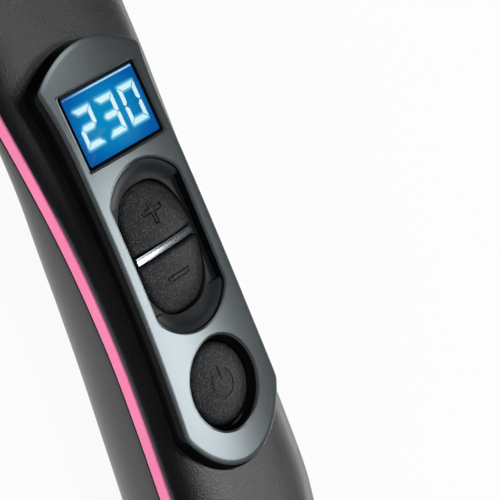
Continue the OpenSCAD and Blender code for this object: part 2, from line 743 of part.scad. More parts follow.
// Upright bar of the right side's upper half, mitred at the top and pointed at the middle
module upright() {
    w = digit_w / 2;
    h = digit_h / 2 - bar_gap;
    polygon([[w, h], [w, bar_gap], [w - bar_t / 2, bar_gap / 2], [w - bar_t, bar_gap + bar_t / 2],
             [w - bar_t, h - bar_t]]);
}
module digit(lit) {
    l = digit_w - 2 * bar_gap;
    m = digit_w - bar_t - 2 * bar_gap;
    if (lit[0] == 1) translate([0, digit_h / 2]) bar(l);
    if (lit[1] == 1) upright();
    if (lit[2] == 1) mirror([0, 1]) upright();
    if (lit[3] == 1) mirror([0, 1]) translate([0, digit_h / 2]) bar(l);
    if (lit[4] == 1) mirror([1, 0]) mirror([0, 1]) upright();
    if (lit[5] == 1) mirror([1, 0]) upright();
    if (lit[6] == 1)
        polygon([[-m / 2, 0], [-m / 2 + bar_t / 2, bar_t / 2], [m / 2 - bar_t / 2, bar_t / 2],
                 [m / 2, 0], [m / 2 - bar_t / 2, -bar_t / 2], [-m / 2 + bar_t / 2, -bar_t / 2]]);
}

module display_digits() {
    color([0.85, 0.97, 1]) on_panel(display_x) slab(-1.63, -1.45)
        for (i = [0 : 2]) translate([0, (i - 1) * digit_pitch]) rotate(90) digit(SEGMENTS[i]);
}

// One button's half of the outline, grown outward, and kept a distance off the divider
module half_pair(side, grow = 0, off = 0) {
    intersection() {
        pair_shape(grow);
        translate([side * (divider_t / 2 + off + 15), 0]) square([30, 30], center = true);
    }
}

board_z1 = plinth_z0;             // the plinth's walls stand on the board
board_z0 = board_z1 - 1.2;
dome_h = 0.7;
dome_top = board_z1 + dome_h;
stem_z = dome_top + press + 0.3;  // stems stop short of the domes

button_down = 0.45;               // buttons' crowns lie this far below the panel
cap_r = 40;                       // radius of the pair's crown
power_cap_r = 34;                 // radius of the power button's crown
flange_z = 5.85;                  // top of their flanges below the panel
flange_out = 1.2;
dome_x = 6.6;                     // plus and minus domes off the pair's middle
power_in = power_r - 0.9;         // bore of the power button

// Signs engraved in the keys' tops, as outlines
sign_line = 0.3;
sign_deep = 0.3;
plus_at = -7.6;
plus_size = 5.5;
minus_at = 6.2;
minus_l = 6.3;
sign_bar = 1.2;

// Plus in front of the divider, minus behind it
module key_sign(side, grow = 0) {
    square([sign_bar + 2 * grow, (side < 0 ? plus_size : minus_l) + 2 * grow], center = true);
    if (side < 0) square([plus_size + 2 * grow, sign_bar + 2 * grow], center = true);
}

// Ring open toward the head, and a stem
module power_sign() {
    difference() {
        circle(3.1, $fn = 64);
        circle(3.1 - sign_line, $fn = 64);
        translate([-4, 0]) square([5.2, 3.4], center = true);
    }
    translate([-2.3, 0]) square([3.2, sign_line], center = true);
}

module key_crown(r) {
    translate([0, 0, -r]) sphere(r, $fn = 120);
}

module pair_button(side) {
    color([0.17, 0.17, 0.18]) on_panel(pair_x) {
        difference() {
            intersection() {
                slab(-6, 0) half_pair(side, 0, gap);
                translate([0, 0, -button_down]) key_crown(cap_r);
            }
            translate([side < 0 ? plus_at : minus_at, 0, 0]) intersection() {
                slab(-4, 1) difference() {
                    key_sign(side);
                    key_sign(side, -sign_line);
                }
                // The engraving follows the crown
                difference() {
                    slab(-4, 1) square(12, center = true);
                    translate([side < 0 ? -plus_at : -minus_at, 0, -button_down - sign_deep])
                        key_crown(cap_r);
                }
            }
        }
        // Flange that keeps the button under the plinth's top plate
        slab(-flange_z - 1, -flange_z) half_pair(side, flange_out, gap);
        translate([side * dome_x, 0, stem_z - panel_z])
            cylinder(r = 1.8, h = panel_z - stem_z - flange_z);
    }
}

module plus_button() { pair_button(-1); }
module minus_button() { pair_button(1); }

power_down = 0.65;
module power_button() {
    color([0.17, 0.17, 0.18]) on_panel(power_x) {
        difference() {
            intersection() {
                translate([0, 0, -6]) cylinder(r = power_in - gap, h = 6, $fn = 72);
                translate([0, 0, -power_down]) key_crown(power_cap_r);
            }
            difference() {
                slab(-4, 1) power_sign();
                translate([0, 0, -power_down - sign_deep]) key_crown(power_cap_r);
            }
        }
        translate([0, 0, -flange_z - 0.5]) cylinder(r = power_in + flange_out, h = 1, $fn = 72);
        translate([0, 0, stem_z - panel_z - arch(power_x)])
            cylinder(r = 1.8, h = panel_z + arch(power_x) - stem_z - flange_z);
    }
}

module divider_bar() {
    color([0.85, 0.86, 0.88]) on_panel(pair_x) box(divider_t, divider_l, -recess_deep, -1.2);
}

module control_board() {
    color([0.05, 0.35, 0.2]) translate([52, 0, 0]) box(78, 26, board_z0, board_z1);
}

module dome_switches() {
    color([0.8, 0.78, 0.7])
    for (x = [pair_x - dome_x, pair_x + dome_x, power_x]) translate([x, 0, board_z1])
        rotate_extrude($fn = 32) polygon(concat([[0, 0], [3.2, 0], [3.2, 0.3]],
            [for (a = [0 : 22.5 : 90]) [2.6 * cos(a), 0.3 + (dome_h - 0.3) * sin(a)]]));
}

power_z0 = 13.3;
module power_board() {
    color([0.08, 0.3, 0.16]) translate([74, 0, 0]) box(50, 20, power_z0, power_z0 + 1.4);
}

module board_parts() {
    color([0.25, 0.25, 0.3]) translate([0, 0, power_z0 + 1.4]) {
        translate([55.5, 0, 0]) cylinder(r = 4, h = 8, $fn = 32);
        translate([65, -4, 0]) box(10, 9, 0, 7);
        translate([65, 6, 0]) box(8, 5, 0, 5);
        translate([78, 0, 0]) box(12, 14, 0, 6.5);
        translate([90, 4, 0]) cylinder(r = 2.6, h = 6, $fn = 24);
    }
}

// ---------- Cord outlet ----------

bush_x0 = tail_end_x - 22;
bush_x1 = total_l / 2;
bush_nose = [for (i = [0 : 2]) let(x = tail_end_x + 2.6 + 1.45 * i)
    for (p = [[0, 5.9], [0.25, 6.05], [0.75, 6.0], [0.95, 5.5], [1.15, 5.3]]) [x + p[0], p[1]]];
module swivel_bush() {
    color([0.1, 0.1, 0.11]) translate([0, 0, outlet_z]) difference() {
        turned(concat(
            [[bush_x0, 0], [bush_x0, 3.9], [tail_end_x - 12.8, 3.9], [tail_end_x - 12.8, 6.6],
             [tail_end_x - 9.4, 6.6], [tail_end_x - 9.4, journal_r], [tail_end_x - 1.1, journal_r],
             [tail_end_x - 1.1, collar_r], [tail_end_x + 1.2, collar_r],
             [tail_end_x + 1.9, collar_r - 0.7], [tail_end_x + 2.2, 5.9]],
            bush_nose,
            [[bush_x1 - 0.2, 4.9], [bush_x1, 4.4], [bush_x1, 0]]));
        translate([bush_x0 - 1, 0, 0]) rotate([0, 90, 0])
            cylinder(r = cord_hole_r, h = bush_x1 - bush_x0 + 2);
    }
}

ring_x = [bush_x0 + 1.6, bush_x0 + 5.2];
module slip_rings() {
    color([0.82, 0.65, 0.3]) translate([0, 0, outlet_z])
    for (x = ring_x) translate([x, 0, 0]) rotate([0, 90, 0]) difference() {
        cylinder(r = 5, h = 1.8);
        translate([0, 0, -1]) cylinder(r = 3.92, h = 4);
    }
}

block_z0 = outlet_z - 8.9;
module contact_block() {
    color([0.85, 0.84, 0.78]) translate([bush_x0 + 4, 0, 0])
        box(8, 12, block_z0, outlet_z - 7.2);
}

module contact_springs() {
    color([0.8, 0.62, 0.28])
    for (x = ring_x) translate([x + 0.9, 0, outlet_z - 7.2])
        union() {
            box(1.4, 6, 0, 0.4);
            translate([0, -2.6, 0]) box(1.4, 0.4, 0, 1.8);
        }
}

module housing_screws() {
    color([0.6, 0.6, 0.6]) {
        for (x = concat(boss_x, boss_head_x)) translate([x, 0, keel_z(x) + screw_seat]) {
            top = x < neck_x - 10 ? chassis_z0 : part_z(x) + screw_in;
            translate([0, 0, -1.8]) cylinder(r = screw_head_r, h = 1.8, $fn = 24);
            cylinder(r = thread_r, h = top - keel_z(x) - screw_seat, $fn = 24);
        }
    }
}

// ---------- Nodes ----------

front_housing();
back_housing();
side_trim();
pin_frame();
edge_pins();
plate_surround();
heating_plate();
heating_teeth();
tooth_tips();
head_chassis();
heater_slabs();
mica_sheet();
heater_clamp();
clamp_screws();
heat_shield();
thermistor();
thermal_fuse();
heater_leads();
panel_plinth();
control_fascia();
display_bezel();
display_lens();
display_module();
display_digits();
plus_button();
minus_button();
power_button();
divider_bar();
control_board();
dome_switches();
power_board();
board_parts();
swivel_bush();
slip_rings();
contact_block();
contact_springs();
housing_screws();
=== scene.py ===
"""Dress of the heated hair straightening brush: fine shells, panel, keys, head and finishes.

Sizes are in millimetres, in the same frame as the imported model: X from the head to the tail,
Y to the panel's right, Z out of the panel and the teeth.
"""
import logging
import math
from dataclasses import dataclass
from enum import Enum
from typing import Callable, Iterable, Optional, Sequence

import bpy
from mathutils import Matrix, Quaternion, Vector


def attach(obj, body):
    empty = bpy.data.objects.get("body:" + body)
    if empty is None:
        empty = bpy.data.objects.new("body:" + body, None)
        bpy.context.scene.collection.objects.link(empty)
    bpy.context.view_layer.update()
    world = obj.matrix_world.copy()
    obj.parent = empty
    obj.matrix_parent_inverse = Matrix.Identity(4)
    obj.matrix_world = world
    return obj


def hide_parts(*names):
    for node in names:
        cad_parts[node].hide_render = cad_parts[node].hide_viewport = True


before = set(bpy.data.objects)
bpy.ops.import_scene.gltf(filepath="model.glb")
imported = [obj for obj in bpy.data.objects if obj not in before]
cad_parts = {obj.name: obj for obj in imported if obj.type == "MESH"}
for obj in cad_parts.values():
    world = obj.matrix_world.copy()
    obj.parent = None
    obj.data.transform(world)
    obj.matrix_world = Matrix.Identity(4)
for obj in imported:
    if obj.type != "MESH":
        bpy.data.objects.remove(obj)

MM = 0.001
FINE_POINTS = 720  # points of an outline while its corners are rounded
MAX_FOLD = 10  # points that a fold in a grown outline can span
OUTLET_Z = 14.0  # height of the cord outlet's axis
BUSH_HOLE_R, BUSH_HOLE_ENDS = 7.35, (120, 141)  # the bush's hole through the tail
PLATE = (47.5, 29.0, 24.0)  # the heated plate's half length, half width and corner radius
RIM_IN, PIN_PATH, RIM_OUT = 2.25, 4.7, 7.2  # distances of the pin frame outside the plate
Point = tuple[float, float, float]
Flat = tuple[float, float]
log = logging.getLogger("hair_brush")


# ---------- Form shared by the pieces ----------


class Key(Enum):
    """Columns of the lengthways table."""

    HALF_W = 1
    CROWN = 2
    DEPTH = 3
    FRONT_ROUND = 4
    BACK_ROUND = 5
    FRONT_EXP = 6
    BACK_EXP = 7


class Side(Enum):
    """The two housings: the front with the panel, and the back."""

    FRONT = 1
    BACK = -1


@dataclass(frozen=True)
class BrushForm:
    """The brush's lengthways table, its arch and its outline seen from above."""

    total_l: float = 288.0
    panel_z: float = 35.0
    arch_r: float = 575.0
    pair_x: float = 50.6
    head_part_z: float = 19.0
    part_drop: float = 7.9
    neck_x: float = -20.0
    trim_h: float = 3.0
    trim_proud: float = 0.25
    wall: float = 2.0
    head_half_w: float = 38.5
    head_corner_r: float = 33.5
    tail_end_x: float = 137.0
    tail_corner_r: float = 14.0
    tail_half_w: float = 17.0
    stations: tuple[tuple[float, ...], ...] = (
        (-87, 38.5, 6.0, 17.5, 0.068, 0.72, 2.0, 2.2),
        (-63.5, 38.5, 6.0, 17.2, 0.07, 0.75, 2.0, 2.2),
        (-55, 37.6, 5.7, 16.3, 0.14, 0.80, 2.1, 2.2),
        (-40, 32.9, 4.8, 13.4, 0.42, 0.86, 2.3, 2.1),
        (-20, 25.7, 3.6, 10.4, 0.80, 0.92, 2.4, 2.0),
        (0, 21.8, 2.8, 9.3, 0.90, 0.93, 2.3, 2.0),
        (17, 20.4, 2.4, 9.8, 0.90, 0.93, 2.3, 2.0),
        (29, 19.3, 2.7, 12.2, 0.90, 0.93, 2.4, 2.1),
        (42, 18.3, 3.4, 15.6, 0.90, 0.93, 2.5, 2.2),
        (55, 17.8, 3.9, 17.9, 0.90, 0.93, 2.3, 2.2),
        (68, 17.7, 3.9, 19.5, 0.90, 0.93, 2.3, 2.2),
        (81, 18.1, 3.8, 20.6, 0.90, 0.93, 2.3, 2.2),
        (95, 18.6, 3.6, 21.3, 0.90, 0.93, 2.4, 2.2),
        (108, 18.7, 3.9, 22.0, 0.90, 0.93, 2.6, 2.2),
        (116, 17.7, 4.4, 20.9, 0.90, 0.93, 2.6, 2.2),
        (123, 17.0, 4.8, 19.0, 0.90, 0.93, 2.6, 2.2),
    )

    @property
    def head_end_x(self) -> float:
        """X of the head's end."""
        return -self.total_l / 2 + self.trim_proud

    @property
    def head_x(self) -> float:
        """X of the head's middle."""
        return self.head_end_x + 57.0

    @property
    def head_corner_x(self) -> float:
        """X where the head's end starts to turn in."""
        return self.head_end_x + self.head_corner_r

    @property
    def tail_corner_x(self) -> float:
        """X where the tail starts to turn in."""
        return self.tail_end_x - self.tail_corner_r

    def arch(self, x: float) -> float:
        """Height of the long arch over its top at pair_x."""
        return math.sqrt(self.arch_r ** 2 - (x - self.pair_x) ** 2) - self.arch_r

    def part_z(self, x: float) -> float:
        """Height of the parting line."""
        if x >= self.neck_x:
            return self.panel_z - self.part_drop + self.arch(x)
        neck_z = self.panel_z - self.part_drop + self.arch(self.neck_x)
        slope = (self.pair_x - self.neck_x) / self.arch_r
        ease = 2 * (neck_z - self.head_part_z) / slope
        return self.head_part_z + slope / (2 * ease) * max(0.0, x - self.neck_x + ease) ** 2

    def slope_at(self, i: int, k: int) -> float:
        """Slope of column k at station i."""
        rows = self.stations
        if i in (0, len(rows) - 1):
            return 0.0
        return (rows[i + 1][k] - rows[i - 1][k]) / (rows[i + 1][0] - rows[i - 1][0])

    def along(self, x: float, key: Key) -> float:
        """Value of a column at x, on a smooth curve through the stations.

        Args:
            x: place along the brush.
            key: the column.

        Returns:
            The column's value.
        """
        rows, k = self.stations, key.value
        i = 0
        while i < len(rows) - 2 and x >= rows[i + 1][0]:
            i += 1
        a, b = rows[i], rows[i + 1]
        h = b[0] - a[0]
        t = min(1.0, max(0.0, (x - a[0]) / h))
        return (a[k] * (1 + 2 * t) * (1 - t) ** 2 + h * self.slope_at(i, k) * t * (1 - t) ** 2
                + b[k] * t * t * (3 - 2 * t) + h * self.slope_at(i + 1, k) * t * t * (t - 1))

    def end_of(self, x: float) -> Optional[tuple[float, float, float]]:
        """Corner centre, corner radius and flat half width where an end turns in, or None."""
        if x < self.head_corner_x:
            return self.head_corner_x, self.head_corner_r, self.head_half_w - self.head_corner_r
        if x > self.tail_corner_x:
            return self.tail_corner_x, self.tail_corner_r, self.tail_half_w - self.tail_corner_r
        return None

    def side_slope(self, x: float) -> float:
        """Change of the half width along the brush."""
        return (self.along(x + 0.1, Key.HALF_W) - self.along(x - 0.1, Key.HALF_W)) / 0.2

    def half_w(self, x: float, inset: float = 0.0) -> float:
        """Half width of the outline, set in along its normal."""
        end = self.end_of(x)
        if end is None:
            return self.along(x, Key.HALF_W) - inset * math.hypot(1, self.side_slope(x))
        cx, r, flat = end
        return flat + math.sqrt(max(0.0, (r - inset) ** 2 - (x - cx) ** 2))

    def max_inset(self, x: float) -> float:
        """Largest inset that still meets the section at x."""
        end = self.end_of(x)
        return self.along(x, Key.HALF_W) if end is None else end[1] - abs(x - end[0])

    def outward(self, x: float) -> Flat:
        """Outward direction of the outline at x, on the +Y side."""
        end = self.end_of(x)
        if end is None:
            s = self.side_slope(x)
            n = math.hypot(1, s)
            return -s / n, 1 / n
        u = max(-1.0, min(1.0, (x - end[0]) / end[1]))
        return u, math.sqrt(max(0.0, 1 - u * u))

    def places(self, end_steps: int, side_steps: int) -> list[float]:
        """Section places along the brush, close together where the ends turn in."""
        head = [self.head_corner_x - self.head_corner_r * math.cos(math.radians(90 * i / end_steps))
                for i in range(end_steps)]
        span = self.tail_corner_x - self.head_corner_x
        middle = [self.head_corner_x + span * i / side_steps for i in range(side_steps + 1)]
        tail = [self.tail_corner_x + self.tail_corner_r * math.sin(math.radians(90 * i / end_steps))
                for i in range(1, end_steps + 1)]
        return head + middle + tail


FORM = BrushForm()


def rounding(share: float, power: float) -> float:
    """Height reached at a share of a rounding, as a superellipse."""
    return (1 - (1 - min(1.0, share)) ** power) ** (1 / power)


@dataclass(frozen=True)
class PanelArch:
    """The panel's arched and slightly crowned surface."""

    form: BrushForm = FORM
    crown_r: float = 190.0

    def z(self, x: float, y: float, drop: float = 0.0) -> float:
        """Height of the surface, lowered by a drop."""
        rho = self.form.arch_r - drop - self.crown_r + math.sqrt(self.crown_r ** 2 - y * y)
        return self.form.panel_z - self.form.arch_r + math.sqrt(rho ** 2 - (x - self.form.pair_x) ** 2)

    def place(self, x: float) -> Callable[[Point], Point]:
        """Mapping from a local frame that stands on the panel at x, with local Z along its normal."""
        angle = math.asin((x - self.form.pair_x) / self.form.arch_r)
        c, s = math.cos(angle), math.sin(angle)
        r = self.form.arch_r

        def put(p: Point) -> Point:
            """Place one local point."""
            return (self.form.pair_x + c * p[0] + s * (p[2] + r), p[1],
                    self.form.panel_z - r - s * p[0] + c * (p[2] + r))

        return put


ARCH = PanelArch()


# ---------- Mesh helpers ----------


class MeshMaker:
    """Collects points and faces in millimetres, and makes one object of them."""

    def __init__(self, name: str) -> None:
        """Start an empty mesh.

        Args:
            name: the piece's name.
        """
        self.name = name
        self.points: list[Point] = []
        self.faces: list[tuple[int, ...]] = []

    def loops(self, loops: Sequence[Sequence[Point]], closed: bool = True, around: bool = False,
              cap_first: bool = False, cap_last: bool = False, flip: bool = False) -> None:
        """Add the skin over a row of loops.

        Args:
            loops: loops with the same number of points.
            closed: whether each loop closes on itself.
            around: whether the last loop joins the first.
            cap_first: close the first loop with one face.
            cap_last: close the last loop with one face.
            flip: turn the faces over.
        """
        start, n, m = len(self.points), len(loops), len(loops[0])
        for loop in loops:
            self.points.extend(loop)
        made: list[tuple[int, ...]] = []
        for i in range(n if around else n - 1):
            k = (i + 1) % n
            for j in range(m if closed else m - 1):
                q = (j + 1) % m
                made.append((start + i * m + j, start + i * m + q, start + k * m + q, start + k * m + j))
        if cap_first:
            made.append(tuple(start + j for j in reversed(range(m))))
        if cap_last:
            made.append(tuple(start + (n - 1) * m + j for j in range(m)))
        self.faces.extend(tuple(reversed(f)) if flip else f for f in made)

    def build(self, sharp_deg: float = 35.0, weld: bool = True) -> bpy.types.Object:
        """Make the object.

        Args:
            sharp_deg: edges bent more than this are shaded sharp.
            weld: merge points in the same place.

        Returns:
            The new object.
        """
        mesh = bpy.data.meshes.new(self.name)
        mesh.from_pydata([(x * MM, y * MM, z * MM) for x, y, z in self.points], [], self.faces)
        obj = bpy.data.objects.new(self.name, mesh)
        bpy.context.collection.objects.link(obj)
        if weld:
            weld_mod = obj.modifiers.new("weld", "WELD")
            weld_mod.merge_threshold = 1e-6
            bake(obj)
        shade(obj, sharp_deg)
        return obj


def bake(obj: bpy.types.Object) -> None:
    """Apply every modifier of an object.

    Args:
        obj: the object, changed in place.
    """
    graph = bpy.context.evaluated_depsgraph_get()
    mesh = bpy.data.meshes.new_from_object(obj.evaluated_get(graph))
    obj.modifiers.clear()
    old, obj.data = obj.data, mesh
    bpy.data.meshes.remove(old)


def shade(obj: bpy.types.Object, sharp_deg: float) -> None:
    """Shade smooth, apart from edges bent more than an angle."""
    obj.data.shade_smooth()
    obj.data.set_sharp_from_angle(angle=math.radians(sharp_deg))


def cut(obj: bpy.types.Object, cutter: bpy.types.Object, sharp_deg: float = 35.0) -> None:
    """Cut one object out of another.

    Args:
        obj: the object, changed in place.
        cutter: the tool, deleted afterwards.
        sharp_deg: edges bent more than this are shaded sharp.
    """
    mod = obj.modifiers.new("cut", "BOOLEAN")
    mod.object, mod.operation, mod.solver = cutter, "DIFFERENCE", "EXACT"
    bake(obj)
    bpy.data.objects.remove(cutter)
    shade(obj, sharp_deg)


def bevelled(obj: bpy.types.Object, width: float, steps: int = 2, sharp_deg: float = 35.0) -> None:
    """Round an object's sharp edges.

    Args:
        obj: the object, changed in place.
        width: width of the bevel in millimetres.
        steps: segments of the bevel.
        sharp_deg: edges bent more than this are rounded.
    """
    mod = obj.modifiers.new("bevel", "BEVEL")
    mod.width, mod.segments, mod.limit_method = width * MM, steps, "ANGLE"
    mod.angle_limit = math.radians(sharp_deg)
    bake(obj)
    shade(obj, 50.0)


def joined(name: str, parts: Sequence[bpy.types.Object]) -> bpy.types.Object:
    """Join objects into one.

    Args:
        name: name of the joined object.
        parts: the objects; all but the first are deleted.

    Returns:
        The joined object.
    """
    for o in bpy.context.selected_objects:
        o.select_set(False)
    for o in parts:
        o.select_set(True)
    bpy.context.view_layer.objects.active = parts[0]
    bpy.ops.object.join()
    parts[0].name = name
    return parts[0]


def prism(name: str, outline: Sequence[Flat], z0: float, z1: float,
          put: Callable[[Point], Point] = lambda p: p) -> bpy.types.Object:
    """Straight solid over a flat outline.

    Args:
        name: name of the object.
        outline: counter-clockwise points.
        z0: lower height.
        z1: upper height.
        put: mapping from the local frame.

    Returns:
        The new object.
    """
    maker = MeshMaker(name)
    maker.loops([[put((x, y, z)) for x, y in outline] for z in (z0, z1)], cap_first=True, cap_last=True)
    return maker.build()


def resampled(points: Sequence[Flat], count: int) -> list[Flat]:
    """Points evenly spaced along a closed outline.

    Args:
        points: the outline.
        count: number of points to make.

    Returns:
        The new points.
    """
    ring = [*points, points[0]]
    steps = [0.0]
    for a, b in zip(ring, ring[1:]):
        steps.append(steps[-1] + math.dist(a, b))
    total, out, k = steps[-1], [], 0
    for i in range(count):
        s = total * i / count
        while k < len(steps) - 2 and steps[k + 1] < s:
            k += 1
        t = (s - steps[k]) / max(1e-9, steps[k + 1] - steps[k])
        a, b = ring[k], ring[k + 1]
        out.append((a[0] + t * (b[0] - a[0]), a[1] + t * (b[1] - a[1])))
    return out


def softened(points: Sequence[Flat], reach: float, bend_deg: float = 25.0) -> list[Flat]:
    """Round the corners of a closed outline.

    Args:
        points: counter-clockwise outline.
        reach: how far each rounding runs along both sides.
        bend_deg: corners bent more than this are rounded.

    Returns:
        The rounded outline.
    """
    fine = resampled(points, FINE_POINTS)
    n = len(fine)
    step = sum(math.dist(fine[i], fine[(i + 1) % n]) for i in range(n)) / n
    span = max(2, round(reach / step))

    def heading(i: int, k: int) -> float:
        """Heading from one point to a later one."""
        a, b = fine[i % n], fine[(i + k) % n]
        return math.atan2(b[1] - a[1], b[0] - a[0])

    bends = []
    for i in range(n):
        turn = heading(i, 2) - heading(i - 2, 2)
        bends.append(abs((turn + math.pi) % (2 * math.pi) - math.pi))
    out = list(fine)
    for i in range(n):
        near = max(bends[(i + d) % n] for d in (-3, -2, -1, 1, 2, 3))
        if bends[i] > math.radians(bend_deg) and bends[i] >= near:
            a, c, b = fine[(i - span) % n], fine[i], fine[(i + span) % n]
            for d in range(-span, span + 1):
                t = (d + span) / (2 * span)
                out[(i + d) % n] = tuple(
                    (1 - t) ** 2 * a[q] + 2 * t * (1 - t) * c[q] + t * t * b[q] for q in (0, 1))
    return out


def crossing(a: Flat, b: Flat, c: Flat, d: Flat) -> Optional[Flat]:
    """Place where two short lines cross, or None."""
    ux, uy, vx, vy = b[0] - a[0], b[1] - a[1], d[0] - c[0], d[1] - c[1]
    area = ux * vy - uy * vx
    if abs(area) < 1e-12:
        return None
    s = ((c[0] - a[0]) * vy - (c[1] - a[1]) * vx) / area
    t = ((c[0] - a[0]) * uy - (c[1] - a[1]) * ux) / area
    return (a[0] + s * ux, a[1] + s * uy) if 0 <= s <= 1 and 0 <= t <= 1 else None


def grown(points: Sequence[Flat], amount: float) -> list[Flat]:
    """Move a closed counter-clockwise outline outward along its normals.

    Args:
        points: the outline.
        amount: distance outward; below zero it goes inward.

    Returns:
        The same number of points; where the outline would fold over itself at a corner, they meet there.
    """
    n, out = len(points), []
    for i in range(n):
        a, b = points[i - 1], points[(i + 1) % n]
        dx, dy = b[0] - a[0], b[1] - a[1]
        size = math.hypot(dx, dy) or 1.0
        out.append((points[i][0] + amount * dy / size, points[i][1] - amount * dx / size))
    for i in range(n):
        for span in range(MAX_FOLD, 1, -1):
            meet = crossing(out[i], out[(i + 1) % n], out[(i + span) % n], out[(i + span + 1) % n])
            if meet is not None:
                for k in range(i + 1, i + span + 1):
                    out[k % n] = meet
                break
    return out


def circle(r: float, count: int = 96, centre: Flat = (0.0, 0.0)) -> list[Flat]:
    """Points round a circle."""
    return [(centre[0] + r * math.cos(2 * math.pi * i / count),
             centre[1] + r * math.sin(2 * math.pi * i / count)) for i in range(count)]


def rounded_box(l: float, w: float, r: float, step_deg: int, cx: float = 0.0) -> list[Flat]:
    """Points round a rectangle with round corners.

    Args:
        l: half of its length.
        w: half of its width.
        r: radius of the corners.
        step_deg: degrees between the points of a corner.
        cx: X of its middle.

    Returns:
        Counter-clockwise points.
    """
    corners = [(cx + l - r, w - r, 0), (cx - l + r, w - r, 90), (cx - l + r, -w + r, 180),
               (cx + l - r, -w + r, 270)]
    return [(x + r * math.cos(math.radians(a + s)), y + r * math.sin(math.radians(a + s)))
            for x, y, a in corners for s in range(0, 91, step_deg)]


def turned(name: str, profile: Sequence[Flat], axis_z: float, count: int = 96) -> bpy.types.Object:
    """Solid turned about a line along X.

    Args:
        name: name of the object.
        profile: closed profile of (x, radius) points.
        axis_z: height of the line.
        count: steps round the turn.

    Returns:
        The new object.
    """
    maker = MeshMaker(name)
    rings = []
    for i in range(count):
        a = 2 * math.pi * i / count
        rings.append([(x, r * math.sin(a), axis_z + r * math.cos(a)) for x, r in profile])
    maker.loops(rings, around=True)
    return maker.build()


# ---------- Finishes ----------


class Slot(Enum):
    """Material slots of the record."""

    SHELL = "shell_black"
    TRIM = "trim_pink"
    FRAME = "frame_black"
    PIN = "pin_black"
    PIANO = "piano_black"
    PLATE = "plate_red"
    TIP = "tip_black"
    CHASSIS = "chassis_grey"
    PTC = "ptc_ceramic"
    MICA = "mica"
    CLAMP = "clamp_alu"
    SCREW = "screw_steel"
    SHIELD = "shield_alu"
    SENSOR = "sensor_green"
    FUSE = "fuse_ceramic"
    LEAD = "lead_white"
    FASCIA = "fascia_gunmetal"
    LENS = "lens_clear"
    DISPLAY = "display_blue"
    DIGIT = "digit_white"
    BUTTON = "button_rubber"
    DIVIDER = "divider_chrome"
    BOARD = "board_green"
    DOME = "dome_silicone"
    PARTS = "parts_dark"
    BUSH = "bush_black"
    CONTACT = "contact_brass"
    BLOCK = "block_cream"


class Nodes:
    """Node tree of a material or a world."""

    def __init__(self, owner: bpy.types.ID) -> None:
        """Turn the owner's nodes on.

        Args:
            owner: the material or the world.
        """
        owner.use_nodes = True
        self.tree = owner.node_tree

    def feed(self, node: bpy.types.Node, inputs: dict) -> bpy.types.Node:
        """Give a node's inputs values, or links from the sockets that feed them.

        Args:
            node: the node.
            inputs: a value or a socket for each input's name or number.

        Returns:
            The node.
        """
        for key, value in inputs.items():
            if isinstance(value, bpy.types.NodeSocket):
                self.tree.links.new(value, node.inputs[key])
            else:
                node.inputs[key].default_value = value
        return node

    def add(self, kind: str, inputs: Optional[dict] = None) -> bpy.types.Node:
        """Add a shader node of a kind and feed its inputs."""
        return self.feed(self.tree.nodes.new(f"ShaderNode{kind}"), inputs or {})

    def combined(self, operation: str, a: object, b: object) -> bpy.types.NodeSocket:
        """Result of a sum on two values or sockets."""
        node = self.add("Math", {0: a, 1: b})
        node.operation = operation
        return node.outputs[0]

    def ramp(self, fac: bpy.types.NodeSocket, stops: Sequence[tuple[float, Point]],
             blend: str = "LINEAR") -> bpy.types.NodeSocket:
        """Colour ramp over a factor.

        Args:
            fac: the factor.
            stops: places and colours, from the lowest place to the highest.
            blend: how the colours pass into each other.

        Returns:
            The ramp's colour.
        """
        node = self.add("ValToRGB", {"Fac": fac})
        node.color_ramp.interpolation = blend
        elements = node.color_ramp.elements
        for i, (place, color) in enumerate((stops[0], stops[-1])):
            elements[i].position, elements[i].color = place, (*color, 1)
        for place, color in stops[1:-1]:
            elements.new(place).color = (*color, 1)
        return node.outputs["Color"]


def new_material(name: str) -> tuple[bpy.types.Material, Nodes, bpy.types.Node]:
    """Make a node material with nothing set.

    Args:
        name: its name.

    Returns:
        The material, its nodes and its surface shader.
    """
    mat = bpy.data.materials.new(name)
    mat["dressed"] = True
    nodes = Nodes(mat)
    return mat, nodes, nodes.tree.nodes["Principled BSDF"]


